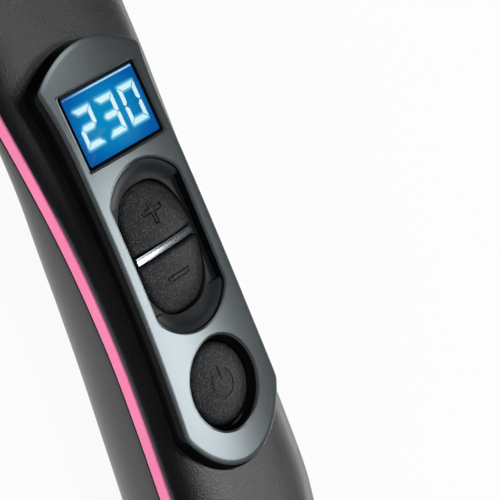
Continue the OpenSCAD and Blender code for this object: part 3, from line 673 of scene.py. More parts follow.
@dataclass(frozen=True)
class Finish:
    """A surface: its colours, gloss and grain.

    Args:
        slot: the record's slot that it dresses.
        color: base colour.
        second: colour of the broad variation.
        roughness: lower and upper roughness.
        metallic: share of metal.
        specular: specular level.
        coat: weight and roughness of a clear coat.
        grain: size of the grain in millimetres, and its depth.
        speckle: brightness of the fine specks.
        stretch: how far the grain is drawn out along X.
        name: the material's name, where it isn't the slot's.
    """

    slot: Slot
    color: Point
    second: Optional[Point] = None
    roughness: Flat = (0.4, 0.5)
    metallic: float = 0.0
    specular: float = 0.5
    coat: Flat = (0.0, 0.1)
    grain: Flat = (0.0, 0.0)
    speckle: float = 0.0
    stretch: float = 1.0
    name: str = ""

    def material(self) -> bpy.types.Material:
        """Make the node material, or return the one already made.

        Returns:
            The material.
        """
        name = self.name or self.slot.value
        if name in bpy.data.materials and bpy.data.materials[name].get("dressed"):
            return bpy.data.materials[name]
        mat, nodes, shader = new_material(name)
        nodes.feed(shader, {"Metallic": self.metallic, "Specular IOR Level": self.specular,
                            "Coat Weight": self.coat[0], "Coat Roughness": self.coat[1]})
        where = nodes.add("Mapping", {"Vector": nodes.add("TexCoord").outputs["Object"],
                                      "Scale": (1 / self.stretch, 1, 1)}).outputs["Vector"]
        self.broad(nodes, shader, where)
        if self.grain[0] > 0:
            self.grained(nodes, shader, where)
        return mat

    def broad(self, nodes: Nodes, shader: bpy.types.Node, where: bpy.types.NodeSocket) -> None:
        """Add the slow variation of colour and roughness, and the fine specks.

        Args:
            nodes: the material's nodes.
            shader: its surface shader.
            where: socket that gives the place.
        """
        slow = nodes.add("TexNoise", {"Vector": where, "Scale": 60.0, "Detail": 3.0}).outputs["Fac"]
        second = self.second or tuple(c * 1.18 for c in self.color)
        color = nodes.ramp(slow, ((0.35, self.color), (0.65, second)))
        gloss = nodes.add("MapRange", {"Value": slow, "To Min": self.roughness[0],
                                       "To Max": self.roughness[1]})
        if self.speckle > 0:
            fine = nodes.add("TexNoise", {"Vector": where, "Scale": 2600.0, "Detail": 1.0})
            pick = nodes.add("MapRange", {"Value": fine.outputs["Fac"], "From Min": 0.5,
                                          "From Max": 0.8, "To Max": self.speckle})
            mix = nodes.add("Mix")
            mix.data_type, mix.blend_type = "RGBA", "ADD"
            nodes.feed(mix, {"Factor": pick.outputs["Result"], "A": color,
                             "B": (0.5, 0.52, 0.54, 1)})
            color = mix.outputs["Result"]
        nodes.feed(shader, {"Base Color": color, "Roughness": gloss.outputs["Result"]})

    def grained(self, nodes: Nodes, shader: bpy.types.Node, where: bpy.types.NodeSocket) -> None:
        """Add the grain's relief.

        Args:
            nodes: the material's nodes.
            shader: its surface shader.
            where: socket that gives the place.
        """
        size, deep = self.grain
        noise = nodes.add("TexNoise", {"Vector": where, "Scale": 1000.0 / size, "Detail": 2.0})
        bump = nodes.add("Bump", {"Height": noise.outputs["Fac"], "Strength": 1.0,
                                  "Distance": deep * MM})
        nodes.feed(shader, {"Normal": bump.outputs["Normal"]})


@dataclass(frozen=True)
class Glow:
    """A backlit surface that is brightest in the middle.

    Args:
        slot: the record's slot that it dresses.
        middle: colour in the middle.
        edge: colour at the edges.
        strength: brightness.
        centre: the middle's place in millimetres.
        reach: distance in millimetres at which the edge colour is reached.
        name: the material's name, where it isn't the slot's.
    """

    slot: Slot
    middle: Point
    edge: Point
    strength: float
    centre: Point
    reach: Point
    name: str = ""

    def material(self) -> bpy.types.Material:
        """Make the node material.

        Returns:
            The material.
        """
        mat, nodes, shader = new_material(self.name or self.slot.value)
        place = nodes.add("Mapping", {
            "Vector": nodes.add("TexCoord").outputs["Object"],
            "Scale": tuple(1 / (r * MM) for r in self.reach),
            "Location": tuple(-c / r for c, r in zip(self.centre, self.reach))})
        ball = nodes.add("TexGradient", {"Vector": place.outputs["Vector"]})
        ball.gradient_type = "SPHERICAL"
        color = nodes.ramp(ball.outputs["Fac"], ((0.0, self.edge), (0.75, self.middle)), "EASE")
        nodes.feed(shader, {"Base Color": (*(c * 0.1 for c in self.edge), 1), "Roughness": 0.7,
                            "Specular IOR Level": 0.02, "Emission Color": color,
                            "Emission Strength": self.strength})
        return mat


@dataclass(frozen=True)
class ClearPane:
    """A clear plastic window.

    Args:
        slot: the record's slot that it dresses.
        tint: faint colour of the window.
        roughness: its lower and upper roughness.
    """

    slot: Slot
    tint: Point
    roughness: Flat = (0.015, 0.035)

    def material(self) -> bpy.types.Material:
        """Make the node material.

        Returns:
            The material.
        """
        mat, nodes, shader = new_material(self.slot.value)
        slow = nodes.add("TexNoise", {"Scale": 150.0})
        gloss = nodes.add("MapRange", {"Value": slow.outputs["Fac"], "To Min": self.roughness[0],
                                       "To Max": self.roughness[1]})
        nodes.feed(shader, {"Base Color": (*self.tint, 1), "Alpha": 0.05,
                            "Specular IOR Level": 0.5, "Roughness": gloss.outputs["Result"]})
        return mat


BLACK = (0.0032, 0.0034, 0.004)
FINISHES: dict[Slot, Finish] = {f.slot: f for f in (
    Finish(Slot.SHELL, BLACK, (0.0042, 0.0045, 0.0052), (0.3, 0.35), specular=0.85, grain=(0.42, 0.05),
           speckle=0.012),
    Finish(Slot.TRIM, (0.88, 0.2, 0.4), (0.92, 0.23, 0.43), (0.26, 0.32), specular=0.4,
           grain=(0.6, 0.004)),
    Finish(Slot.FRAME, (0.012, 0.012, 0.013), (0.018, 0.018, 0.02), (0.36, 0.46), grain=(0.35, 0.03)),
    Finish(Slot.PIN, (0.009, 0.009, 0.01), None, (0.28, 0.36), grain=(0.5, 0.006)),
    Finish(Slot.PIANO, (0.0022, 0.0022, 0.0026), (0.003, 0.003, 0.0034), (0.08, 0.12), specular=0.08,
           grain=(1.5, 0.002)),
    Finish(Slot.PLATE, (0.72, 0.004, 0.045), (0.8, 0.006, 0.06), (0.16, 0.22), specular=0.7,
           coat=(0.8, 0.05), grain=(1.4, 0.01)),
    Finish(Slot.TIP, (0.008, 0.008, 0.009), None, (0.4, 0.5), grain=(0.3, 0.02)),
    Finish(Slot.CHASSIS, (0.03, 0.03, 0.033), None, (0.55, 0.65), grain=(0.4, 0.03)),
    Finish(Slot.PTC, (0.75, 0.72, 0.64), None, (0.6, 0.7), grain=(0.3, 0.02)),
    Finish(Slot.MICA, (0.36, 0.28, 0.13), (0.5, 0.42, 0.22), (0.35, 0.6), grain=(1.2, 0.02)),
    Finish(Slot.CLAMP, (0.62, 0.63, 0.65), None, (0.3, 0.4), metallic=1.0, grain=(0.5, 0.01), stretch=8.0),
    Finish(Slot.SCREW, (0.5, 0.5, 0.5), None, (0.28, 0.4), metallic=1.0, grain=(0.4, 0.01)),
    Finish(Slot.SHIELD, (0.7, 0.7, 0.7), None, (0.2, 0.3), metallic=1.0, grain=(2.0, 0.02)),
    Finish(Slot.SENSOR, (0.03, 0.13, 0.05), None, (0.15, 0.25), grain=(0.8, 0.02)),
    Finish(Slot.FUSE, (0.7, 0.66, 0.52), None, (0.25, 0.35), grain=(0.6, 0.01)),
    Finish(Slot.LEAD, (0.7, 0.7, 0.66), None, (0.45, 0.55), grain=(0.6, 0.01)),
    Finish(Slot.FASCIA, (0.14, 0.162, 0.17), (0.155, 0.178, 0.187), (0.2, 0.24), metallic=0.78,
           grain=(0.16, 0.0004)),
    Finish(Slot.BUTTON, (0.008, 0.0085, 0.0095), (0.011, 0.0115, 0.013), (0.5, 0.58), specular=0.5,
           grain=(0.3, 0.13), speckle=0.16),
    Finish(Slot.DIVIDER, (0.48, 0.52, 0.58), (0.52, 0.56, 0.62), (0.2, 0.24), metallic=1.0,
           grain=(0.8, 0.00005), stretch=0.2),
    Finish(Slot.BOARD, (0.01, 0.1, 0.04), (0.015, 0.13, 0.055), (0.3, 0.4), grain=(1.0, 0.01)),
    Finish(Slot.DOME, (0.5, 0.48, 0.4), None, (0.45, 0.6), grain=(0.5, 0.01)),
    Finish(Slot.PARTS, (0.03, 0.03, 0.035), None, (0.4, 0.55), grain=(0.4, 0.02)),
    Finish(Slot.BUSH, (0.011, 0.011, 0.012), None, (0.5, 0.6), grain=(0.4, 0.03)),
    Finish(Slot.CONTACT, (0.7, 0.48, 0.18), None, (0.25, 0.35), metallic=1.0, grain=(0.5, 0.005)),
    Finish(Slot.BLOCK, (0.62, 0.6, 0.52), None, (0.45, 0.55), grain=(0.5, 0.01)),
)}

DISH = Finish(Slot.PIANO, (0.0125, 0.0145, 0.0165), (0.014, 0.0165, 0.0185), (0.34, 0.4), specular=0.25,
              grain=(0.4, 0.006), name="recess_satin")


def dress(obj: bpy.types.Object, slot: Slot, body: Optional[str] = None,
          nodes: Iterable[str] = (), material: Optional[bpy.types.Material] = None) -> bpy.types.Object:
    """Give a piece its finish, its body and the nodes that it stands for.

    Args:
        obj: the piece.
        slot: the record's slot.
        body: the body that it rides on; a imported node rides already.
        nodes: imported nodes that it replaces.
        material: a material other than the slot's finish.

    Returns:
        The piece.
    """
    mat = material or FINISHES[slot].material()
    obj.data.materials.clear()
    obj.data.materials.append(mat)
    if body is not None:
        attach(obj, body)
        if nodes:
            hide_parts(*nodes)
    log.info("%s: %s, %d faces", obj.name, slot.value, len(obj.data.polygons))
    return obj


# ---------- Housings ----------


def bush_bore() -> bpy.types.Object:
    """Cutter for the cord bush's hole through the tail."""
    bore = MeshMaker("bush_bore")
    bore.loops([[(x, -y, OUTLET_Z + z) for y, z in circle(BUSH_HOLE_R, 64)] for x in BUSH_HOLE_ENDS],
               cap_first=True, cap_last=True)
    return bore.build()


@dataclass
class Housings:
    """Front housing, back housing and the coloured trim between them."""

    form: BrushForm = FORM
    end_steps: int = 44
    side_steps: int = 170
    round_steps: int = 22
    edge_r: float = 0.3
    trim_half_h: float = 1.3
    boss_xs: tuple[float, ...] = (-14.0, 108.0)
    head_boss_off: float = 36.0
    screw_head_r: float = 2.6
    post_r: float = 3.4
    pilot_r: float = 1.3
    seat_deep: float = 5.0
    post_h: float = 9.0

    def section(self, x: float, side: Side, inset: float) -> list[Point]:
        """One section of a housing's surface.

        Args:
            x: place along the brush.
            side: the housing.
            inset: distance inside the outer surface.

        Returns:
            Points from -Y to +Y.
        """
        f, front = self.form, side is Side.FRONT
        high = f.along(x, Key.CROWN if front else Key.DEPTH) - inset
        share = f.along(x, Key.FRONT_ROUND if front else Key.BACK_ROUND)
        power = f.along(x, Key.FRONT_EXP if front else Key.BACK_EXP)
        out = f.outward(x)
        base = (x - inset * out[0], f.half_w(x) - inset * out[1])
        bend = max(0.4, share * f.along(x, Key.HALF_W) - inset * share)
        deep = min(bend, max(0.05, f.max_inset(x) - inset) * 0.96)
        z0 = f.part_z(base[0]) + side.value * f.trim_h / 2
        half: list[Point] = []
        if inset == 0:
            for a in (0, 30, 60):
                d = self.edge_r * (1 - math.sin(math.radians(a)))
                lift = self.edge_r * (1 - math.cos(math.radians(a)))
                half.append((x - d * out[0], max(0.02, base[1] - d * out[1]), z0 + side.value * lift))
        else:
            half.extend([(base[0], base[1], z0)] * 3)
        for j in range(self.round_steps + 1):
            d = deep * (1 - math.cos(math.pi / 2 * j / self.round_steps) ** (2 / power))
            y = max(0.04 * base[1], f.half_w(x, d) - inset * out[1])
            z = z0 + side.value * high * rounding(d / bend, power)
            if inset == 0:
                z = side.value * max(side.value * z, side.value * z0 + self.edge_r)
            half.append((base[0], y, z))
        mid = (base[0], 0.0, half[-1][2])
        return [(p[0], -p[1], p[2]) for p in half] + [mid] + list(reversed(half))

    def shell(self, name: str, side: Side) -> bpy.types.Object:
        """Closed shell of one housing, without its openings."""
        places = self.form.places(self.end_steps, self.side_steps)
        outer = [self.section(x, side, 0.0) for x in places]
        inner = [self.section(x, side, self.form.wall) for x in places]
        maker = MeshMaker(name)
        rows = [a + list(reversed(b)) for a, b in zip(outer, inner)]
        maker.loops(rows, flip=side is Side.FRONT)
        for row, flip in ((0, side is Side.FRONT), (len(rows) - 1, side is Side.BACK)):
            maker.loops([outer[row], inner[row]], closed=False, flip=flip)
        return maker.build(sharp_deg=40)

    def front(self) -> bpy.types.Object:
        """Front housing with its openings for the pin frame and the panel."""
        shell = self.shell("front_shell", Side.FRONT)
        cut(shell, prism("frame_opening", head_outline(RIM_OUT + 0.05), 15, 40))
        cut(shell, prism("panel_opening", grown(Panel().plinth_outline(), 0.05), 20, 45), 40)
        return dress(shell, Slot.SHELL, "brush", ["front_housing"])

    def back(self) -> bpy.types.Object:
        """Back housing with the screws' counterbores and the cord bush's bore."""
        shell = self.shell("back_shell", Side.BACK)
        parts = [shell]
        mid, off = self.form.head_x, self.head_boss_off
        for x in (*self.boss_xs, mid - off, mid + off):
            keel = self.form.part_z(x) - self.form.trim_h / 2 - self.form.along(x, Key.DEPTH)
            seat, top = keel + self.seat_deep, keel + self.post_h
            cut(shell, prism("counterbore", circle(self.screw_head_r, 48, (x, 0)), -1, seat))
            sleeve = MeshMaker("sleeve")
            rings = [(self.post_r, keel + 1), (self.post_r, top), (self.pilot_r, top),
                     (self.pilot_r, seat), (self.screw_head_r, seat), (self.screw_head_r, keel + 0.2)]
            sleeve.loops([[(px, py, z) for px, py in circle(r, 48, (x, 0))] for r, z in rings])
            parts.append(sleeve.build())
        cut(shell, bush_bore())
        return dress(joined("back_shell", parts), Slot.SHELL, "brush", ["back_housing"])

    def trim(self) -> bpy.types.Object:
        """Coloured band with soft edges, set in a dark gap between the housings."""
        f = self.form
        deep, proud, h = f.wall + 0.2, f.trim_proud, self.trim_half_h
        profile = [(-deep, -h), (-0.3, -h), (proud - 0.25, -h + 0.05), (proud - 0.1, -h + 0.16),
                   (proud - 0.02, -h + 0.34), (proud, -h * 0.35), (proud, h * 0.35),
                   (proud - 0.02, h - 0.34), (proud - 0.1, h - 0.16), (proud - 0.25, h - 0.05),
                   (-0.3, h), (-deep, h)]
        places = f.places(self.end_steps, self.side_steps)
        rings = []
        for sy, xs in ((1, places), (-1, list(reversed(places)))):
            for x in xs:
                out, y = f.outward(x), f.half_w(x)
                rings.append([(x + d * out[0], sy * (y + d * out[1]), f.part_z(x + d * out[0]) + z)
                              for d, z in profile])
        maker = MeshMaker("side_band")
        maker.loops(rings, around=True, flip=True)
        band = maker.build(sharp_deg=50)
        cut(band, bush_bore(), 50)
        return dress(band, Slot.TRIM, "brush", ["side_trim"])

    def build(self) -> None:
        """Build and dress all of the housings."""
        self.front()
        self.back()
        self.trim()


# ---------- Panel ----------


@dataclass
class Panel:
    """Glossy plinth and satin fascia of the control panel."""

    form: BrushForm = FORM
    arch: PanelArch = ARCH
    top_x: float = 7.4
    corner_x: float = 13.0
    bottom_x: float = 86.4
    end_x: float = 96.6
    tail_arc: Flat = (26.0, 18.0)
    tail_turn: float = 54.4
    display_x: float = 23.0
    display_w: float = 21.4
    display_l: float = 14.2
    window_r: float = 0.45
    pair_x: float = 50.6
    recess_l: float = 35.2
    recess_w: float = 20.9
    recess_end_r: float = 12.6
    recess_deep: float = 2.3
    ramp_in: float = 3.2
    ramp_lift: float = 1.5
    band_half: float = 11.2
    power_x: float = 80.2
    power_r: float = 9.5
    points: int = 440
    roll: Flat = (1.5, 0.1)
    edge_h: float = 0.1
    lip_w: float = 0.42
    thick: float = 1.6
    wall: float = 0.5
    waist: Flat = (30.0, 13.62)
    head_flare: Point = (1.4, 17.0, 2.5)
    tail_reach: float = 55.0
    tail_steps: int = 27
    side_steps: int = 30
    head_steps: int = 16
    fade: Flat = (66.0, 44.0)

    def side(self, x: float) -> float:
        """Half width of the fascia along its sides, least at the waist."""
        at, least = self.waist
        if x >= at:
            return least + ((x - at) / self.tail_reach) ** 3
        flare, reach, power = self.head_flare
        return least + flare * ((at - x) / reach) ** power

    def outline(self, grow_top: float = 0.0, grow_display: float = 0.0, grow_tail: float = 0.0,
                grow_end: float = 0.0) -> list[Flat]:
        """Outline of the fascia, grown by one amount at its head end, beside the display and at its tail.

        Args:
            grow_top: growth at the head end.
            grow_display: growth beside the display.
            grow_tail: growth beside the power key.
            grow_end: further growth at the middle of the tail's arc.

        Returns:
            Counter-clockwise points, the first on the middle line at the tail.
        """
        cx, cy = self.corner_x - grow_display * 0.1, self.side(self.corner_x) + grow_display * 0.15
        top = self.top_x - grow_top
        ax, ay = self.tail_arc
        half: list[Flat] = []
        for i in range(self.tail_steps + 1):
            t = math.radians(self.tail_turn * i / self.tail_steps)
            nx, ny = ay * math.cos(t), ax * math.sin(t)
            size = math.hypot(nx, ny)
            grow = grow_tail + grow_end * math.cos(math.radians(90 * i / self.tail_steps))
            half.append((self.end_x - ax * (1 - math.cos(t)) + grow * nx / size,
                         ay * math.sin(t) + grow * ny / size))
        for i in range(1, self.side_steps + 1):
            x = self.bottom_x - (self.bottom_x - self.corner_x - 2) * i / self.side_steps
            share = max(0.0, min(1.0, (self.fade[0] - x) / self.fade[1]))
            half.append((x, self.side(x) + grow_tail + (grow_display - grow_tail) * share))
        half += [(top + (cx - top) * (y / cy) ** 2, y)
                 for y in (cy * (1 - i / self.head_steps) for i in range(self.head_steps + 1))]
        whole = half + [(x, -y) for x, y in reversed(half) if y > 0.01]
        return self.evened(resampled(softened(whole, 0.9, 16.0), self.points))

    @staticmethod
    def evened(ring: list[Flat]) -> list[Flat]:
        """Exact mirror image of a ring's first half, so that both sides meet on the middle line."""
        n = len(ring)
        out = [(x, y) for x, y in ring]
        out[0], out[n // 2] = (ring[0][0], 0.0), (ring[n // 2][0], 0.0)
        for i in range(1, n // 2):
            out[n - i] = (ring[i][0], -ring[i][1])
        return out

    def plinth_outline(self) -> list[Flat]:
        """Outline of the plinth's foot."""
        return self.outline(grow_top=0.1, grow_display=0.5, grow_tail=0.12, grow_end=0.8)

    def spine(self, p: Flat) -> Flat:
        """Nearest place on the panel's middle line."""
        return min(max(p[0], self.top_x + 12), self.bottom_x - 4), 0.0

    def inward(self, ring: Sequence[Flat], drop: float, steps: int) -> list[list[Point]]:
        """Rings from an outline to the middle line, on the arch's surface.

        Args:
            ring: the outline.
            drop: distance below the panel.
            steps: number of rings.

        Returns:
            The rings, without the outline itself.
        """
        out = []
        for k in range(1, steps + 1):
            t = k / steps
            row = []
            for x, y in ring:
                sx, sy = self.spine((x, y))
                px, py = x + (sx - x) * t, y + (sy - y) * t
                row.append((px, py, self.arch.z(px, py, drop)))
            out.append(row)
        return out

    def fascia(self) -> bpy.types.Object:
        """Satin cover with rolled edges and three openings."""
        base = self.outline()
        wide, deep = self.roll
        wall = self.wall
        inner = grown(base, -wall)
        steps = [(wall, self.thick), (wall, deep + self.edge_h + 0.03), (0.0, deep + self.edge_h),
                 (0.0, deep + 0.4 * self.edge_h), (0.02, deep + 0.1 * self.edge_h)]
        steps += [(wide * t, deep * (1 - t) ** 2) for t in (k / 10 for k in range(1, 11))]
        loops = [[(x, y, self.arch.z(x, y, drop)) for x, y in (grown(base, -d) if d else base)]
                 for d, drop in steps]
        maker = MeshMaker("panel_cover")
        maker.loops(loops + self.inward(grown(base, -wide), 0.0, 14))
        maker.loops([loops[0]] + self.inward(inner, self.thick, 6), flip=True)
        cover = maker.build(sharp_deg=40)
        for place, outline in self.openings(self.lip_w):
            cut(cover, prism("opening", outline, -12, 8, self.arch.place(place)), 40)
        parts = [cover] + [self.lip(place, outline) for place, outline in self.openings(0.0)]
        cover = joined("panel_cover", parts)
        self.even_top(cover)
        return dress(cover, Slot.FASCIA, "brush", ["control_fascia"])

    def even_top(self, cover: bpy.types.Object) -> None:
        """Give the top's points the arch's own normals, so that the cuts leave no creases."""
        normals = []
        step = 0.05
        for v in cover.data.vertices:
            x, y, z = (c / MM for c in v.co)
            if abs(z - self.arch.z(x, y)) > 0.015:
                normals.append((0.0, 0.0, 0.0))
                continue
            dx = (self.arch.z(x + step, y) - self.arch.z(x - step, y)) / (2 * step)
            dy = (self.arch.z(x, y + step) - self.arch.z(x, y - step)) / (2 * step)
            normals.append(tuple(Vector((-dx, -dy, 1.0)).normalized()))
        cover.data.normals_split_custom_set_from_vertices(normals)

    def openings(self, grow: float) -> list[tuple[float, list[Flat]]]:
        """Place and outline of the display's, the pair's and the power key's openings."""
        return [(self.display_x, self.window(0.55 + grow)),
                (self.pair_x, grown(self.recess(), grow)),
                (self.power_x, circle(self.power_r + grow, 120))]

    def window(self, grow: float = 0.0) -> list[Flat]:
        """Outline of the display's window, with small soft corners."""
        l, w = self.display_l / 2 + grow, self.display_w / 2 + grow
        return resampled(rounded_box(l, w, self.window_r, 15), 200)

    def recess(self) -> list[Flat]:
        """Outline of the recess round the pair: arched ends and soft corners."""
        l, w, r = self.recess_l / 2, self.recess_w / 2, self.recess_end_r
        start = math.degrees(math.asin(w / r))
        c = l - r
        arc = [(c + r * math.cos(math.radians(a)), r * math.sin(math.radians(a)))
               for a in (-start + 2 * start * i / 40 for i in range(41))]
        whole = arc + [(-x, -y) for x, y in arc]
        return resampled(softened(whole, 0.8, 12.0), 240)

    def lip(self, place: float, outline: list[Flat]) -> bpy.types.Object:
        """Chamfered edge of one opening, from the cover's surface down its wall."""
        put, w = self.arch.place(place), self.lip_w
        maker = MeshMaker("lip")

        def ring(out: float, drop: float) -> list[Point]:
            """Ring at a distance outside the opening and below the surface."""
            pts = []
            for x, y in grown(outline, out):
                wx, wy, _ = put((x, y, 0.0))
                pts.append((wx, wy, self.arch.z(wx, wy, drop)))
            return pts

        rings = [ring(out, drop) for out, drop in ((w + 0.02, 0.0), (w - 0.02, 0.004), (w - 0.1, 0.03),
                                                   (0.08, 0.11), (0.03, 0.15), (0.0, 0.23),
                                                   (0.0, 0.6), (0.0, self.thick))]
        maker.loops(rings, flip=True)
        return maker.build(sharp_deg=60)

    def plinth(self) -> bpy.types.Object:
        """Glossy base: its outer wall, the lining of the recess, and the power key's well."""
        foot, top = self.plinth_outline(), self.outline(0.04, 0.04, 0.04)
        rim = self.roll[1] + self.edge_h + 0.02
        loops = []
        for t, rise in ((0.0, -3.0), (0.0, 0.0), (0.03, 0.1), (0.1, 0.28), (0.22, 0.48), (0.42, 0.7),
                        (0.7, 0.88), (1.0, 1.0)):
            ring = []
            for (fx, fy), (tx, ty) in zip(foot, top):
                low = self.shell_z(fx, fy) + 0.05
                high = self.arch.z(tx, ty, rim)
                z = low + rise if rise <= 0 else low + (high - low) * rise
                ring.append((fx + (tx - fx) * t, fy + (ty - fy) * t, z))
            loops.append(ring)
        loops.append([(x, y, self.arch.z(x, y, rim + 0.02)) for x, y in grown(top, -0.42)])
        loops.append([(x, y, self.arch.z(x, y, 3.2)) for x, y in grown(top, -0.45)])
        maker = MeshMaker("panel_base")
        maker.loops(loops)
        base = maker.build(sharp_deg=40)
        return dress(joined("panel_base", [base, self.recess_wall(), self.power_well()]),
                     Slot.PIANO, "brush", ["panel_plinth"])

    def shell_z(self, x: float, y: float) -> float:
        """Height of the front housing's surface at a place on the handle."""
        f = self.form
        w = f.along(x, Key.HALF_W)
        bend = f.along(x, Key.FRONT_ROUND) * w
        power = f.along(x, Key.FRONT_EXP)
        return (f.part_z(x) + f.trim_h / 2
                + f.along(x, Key.CROWN) * rounding(max(0.0, (w - abs(y)) / bend), power))

    def recess_dish(self) -> bpy.types.Object:
        """Floor of the recess: flat beside the keys, with a conical ramp up to each arched end."""
        put, d = self.arch.place(self.pair_x), self.recess_deep
        dish = prism("recess_dish", grown(self.recess(), -0.04), -5.2, -0.5, put)
        b, w = self.band_half, self.recess_w
        cut(dish, prism("band", [(-b, -w), (b, -w), (b, w), (-b, w)], -d, 2.0, put))
        c, r = self.recess_l / 2 - self.recess_end_r, self.recess_end_r
        for side in (-1, 1):
            cone = MeshMaker("cone")
            rings = [(r - self.ramp_in, -d), (r - self.ramp_in * 0.5, -d + self.ramp_lift * 0.46),
                     (r + 0.2, -d + self.ramp_lift), (r + 0.2, 2.0)]
            cone.loops([[put((x, y, z)) for x, y in circle(rr, 144, (side * c, 0.0))] for rr, z in rings],
                       cap_first=True, cap_last=True)
            cut(dish, cone.build())
        keys = PairKeys()
        for side in (-1, 1):
            cut(dish, prism("key_hole", grown(keys.half(side), keys.gap), -9.0, 2.0, put), 30)
        bevelled(dish, 0.12, 2, 28)
        return dress(dish, Slot.PIANO, "brush", ["panel_plinth"], DISH.material())

    def recess_wall(self) -> bpy.types.Object:
        """Thin glossy wall inside the recess's opening."""
        put = self.arch.place(self.pair_x)
        outer, inner = grown(self.recess(), -0.02), grown(self.recess(), -0.16)
        maker = MeshMaker("recess_wall")
        maker.loops([[put((x, y, z)) for x, y in o] for o, z in
                     ((outer, -4.0), (outer, -0.62), (inner, -0.7), (inner, -4.0))], around=True)
        return maker.build(sharp_deg=50)

    def power_well(self) -> bpy.types.Object:
        """Wall, ledge and bore round the power key."""
        put = self.arch.place(self.power_x)
        maker = MeshMaker("power_well")
        r, bore = self.power_r - 0.06, self.power_r - 0.9
        rings = [(r, -0.7), (r, -2.0), (r - 0.12, -2.2), (r - 0.3, -self.recess_deep),
                 (bore + 0.2, -self.recess_deep), (bore, -self.recess_deep - 0.2), (bore, -5.2)]
        maker.loops([[put((x, y, z)) for x, y in circle(rr, 120)] for rr, z in rings])
        return maker.build(sharp_deg=50)

    def build(self) -> None:
        """Build and dress the panel."""
        self.plinth()
        self.recess_dish()
        self.fascia()


# ---------- Display ----------


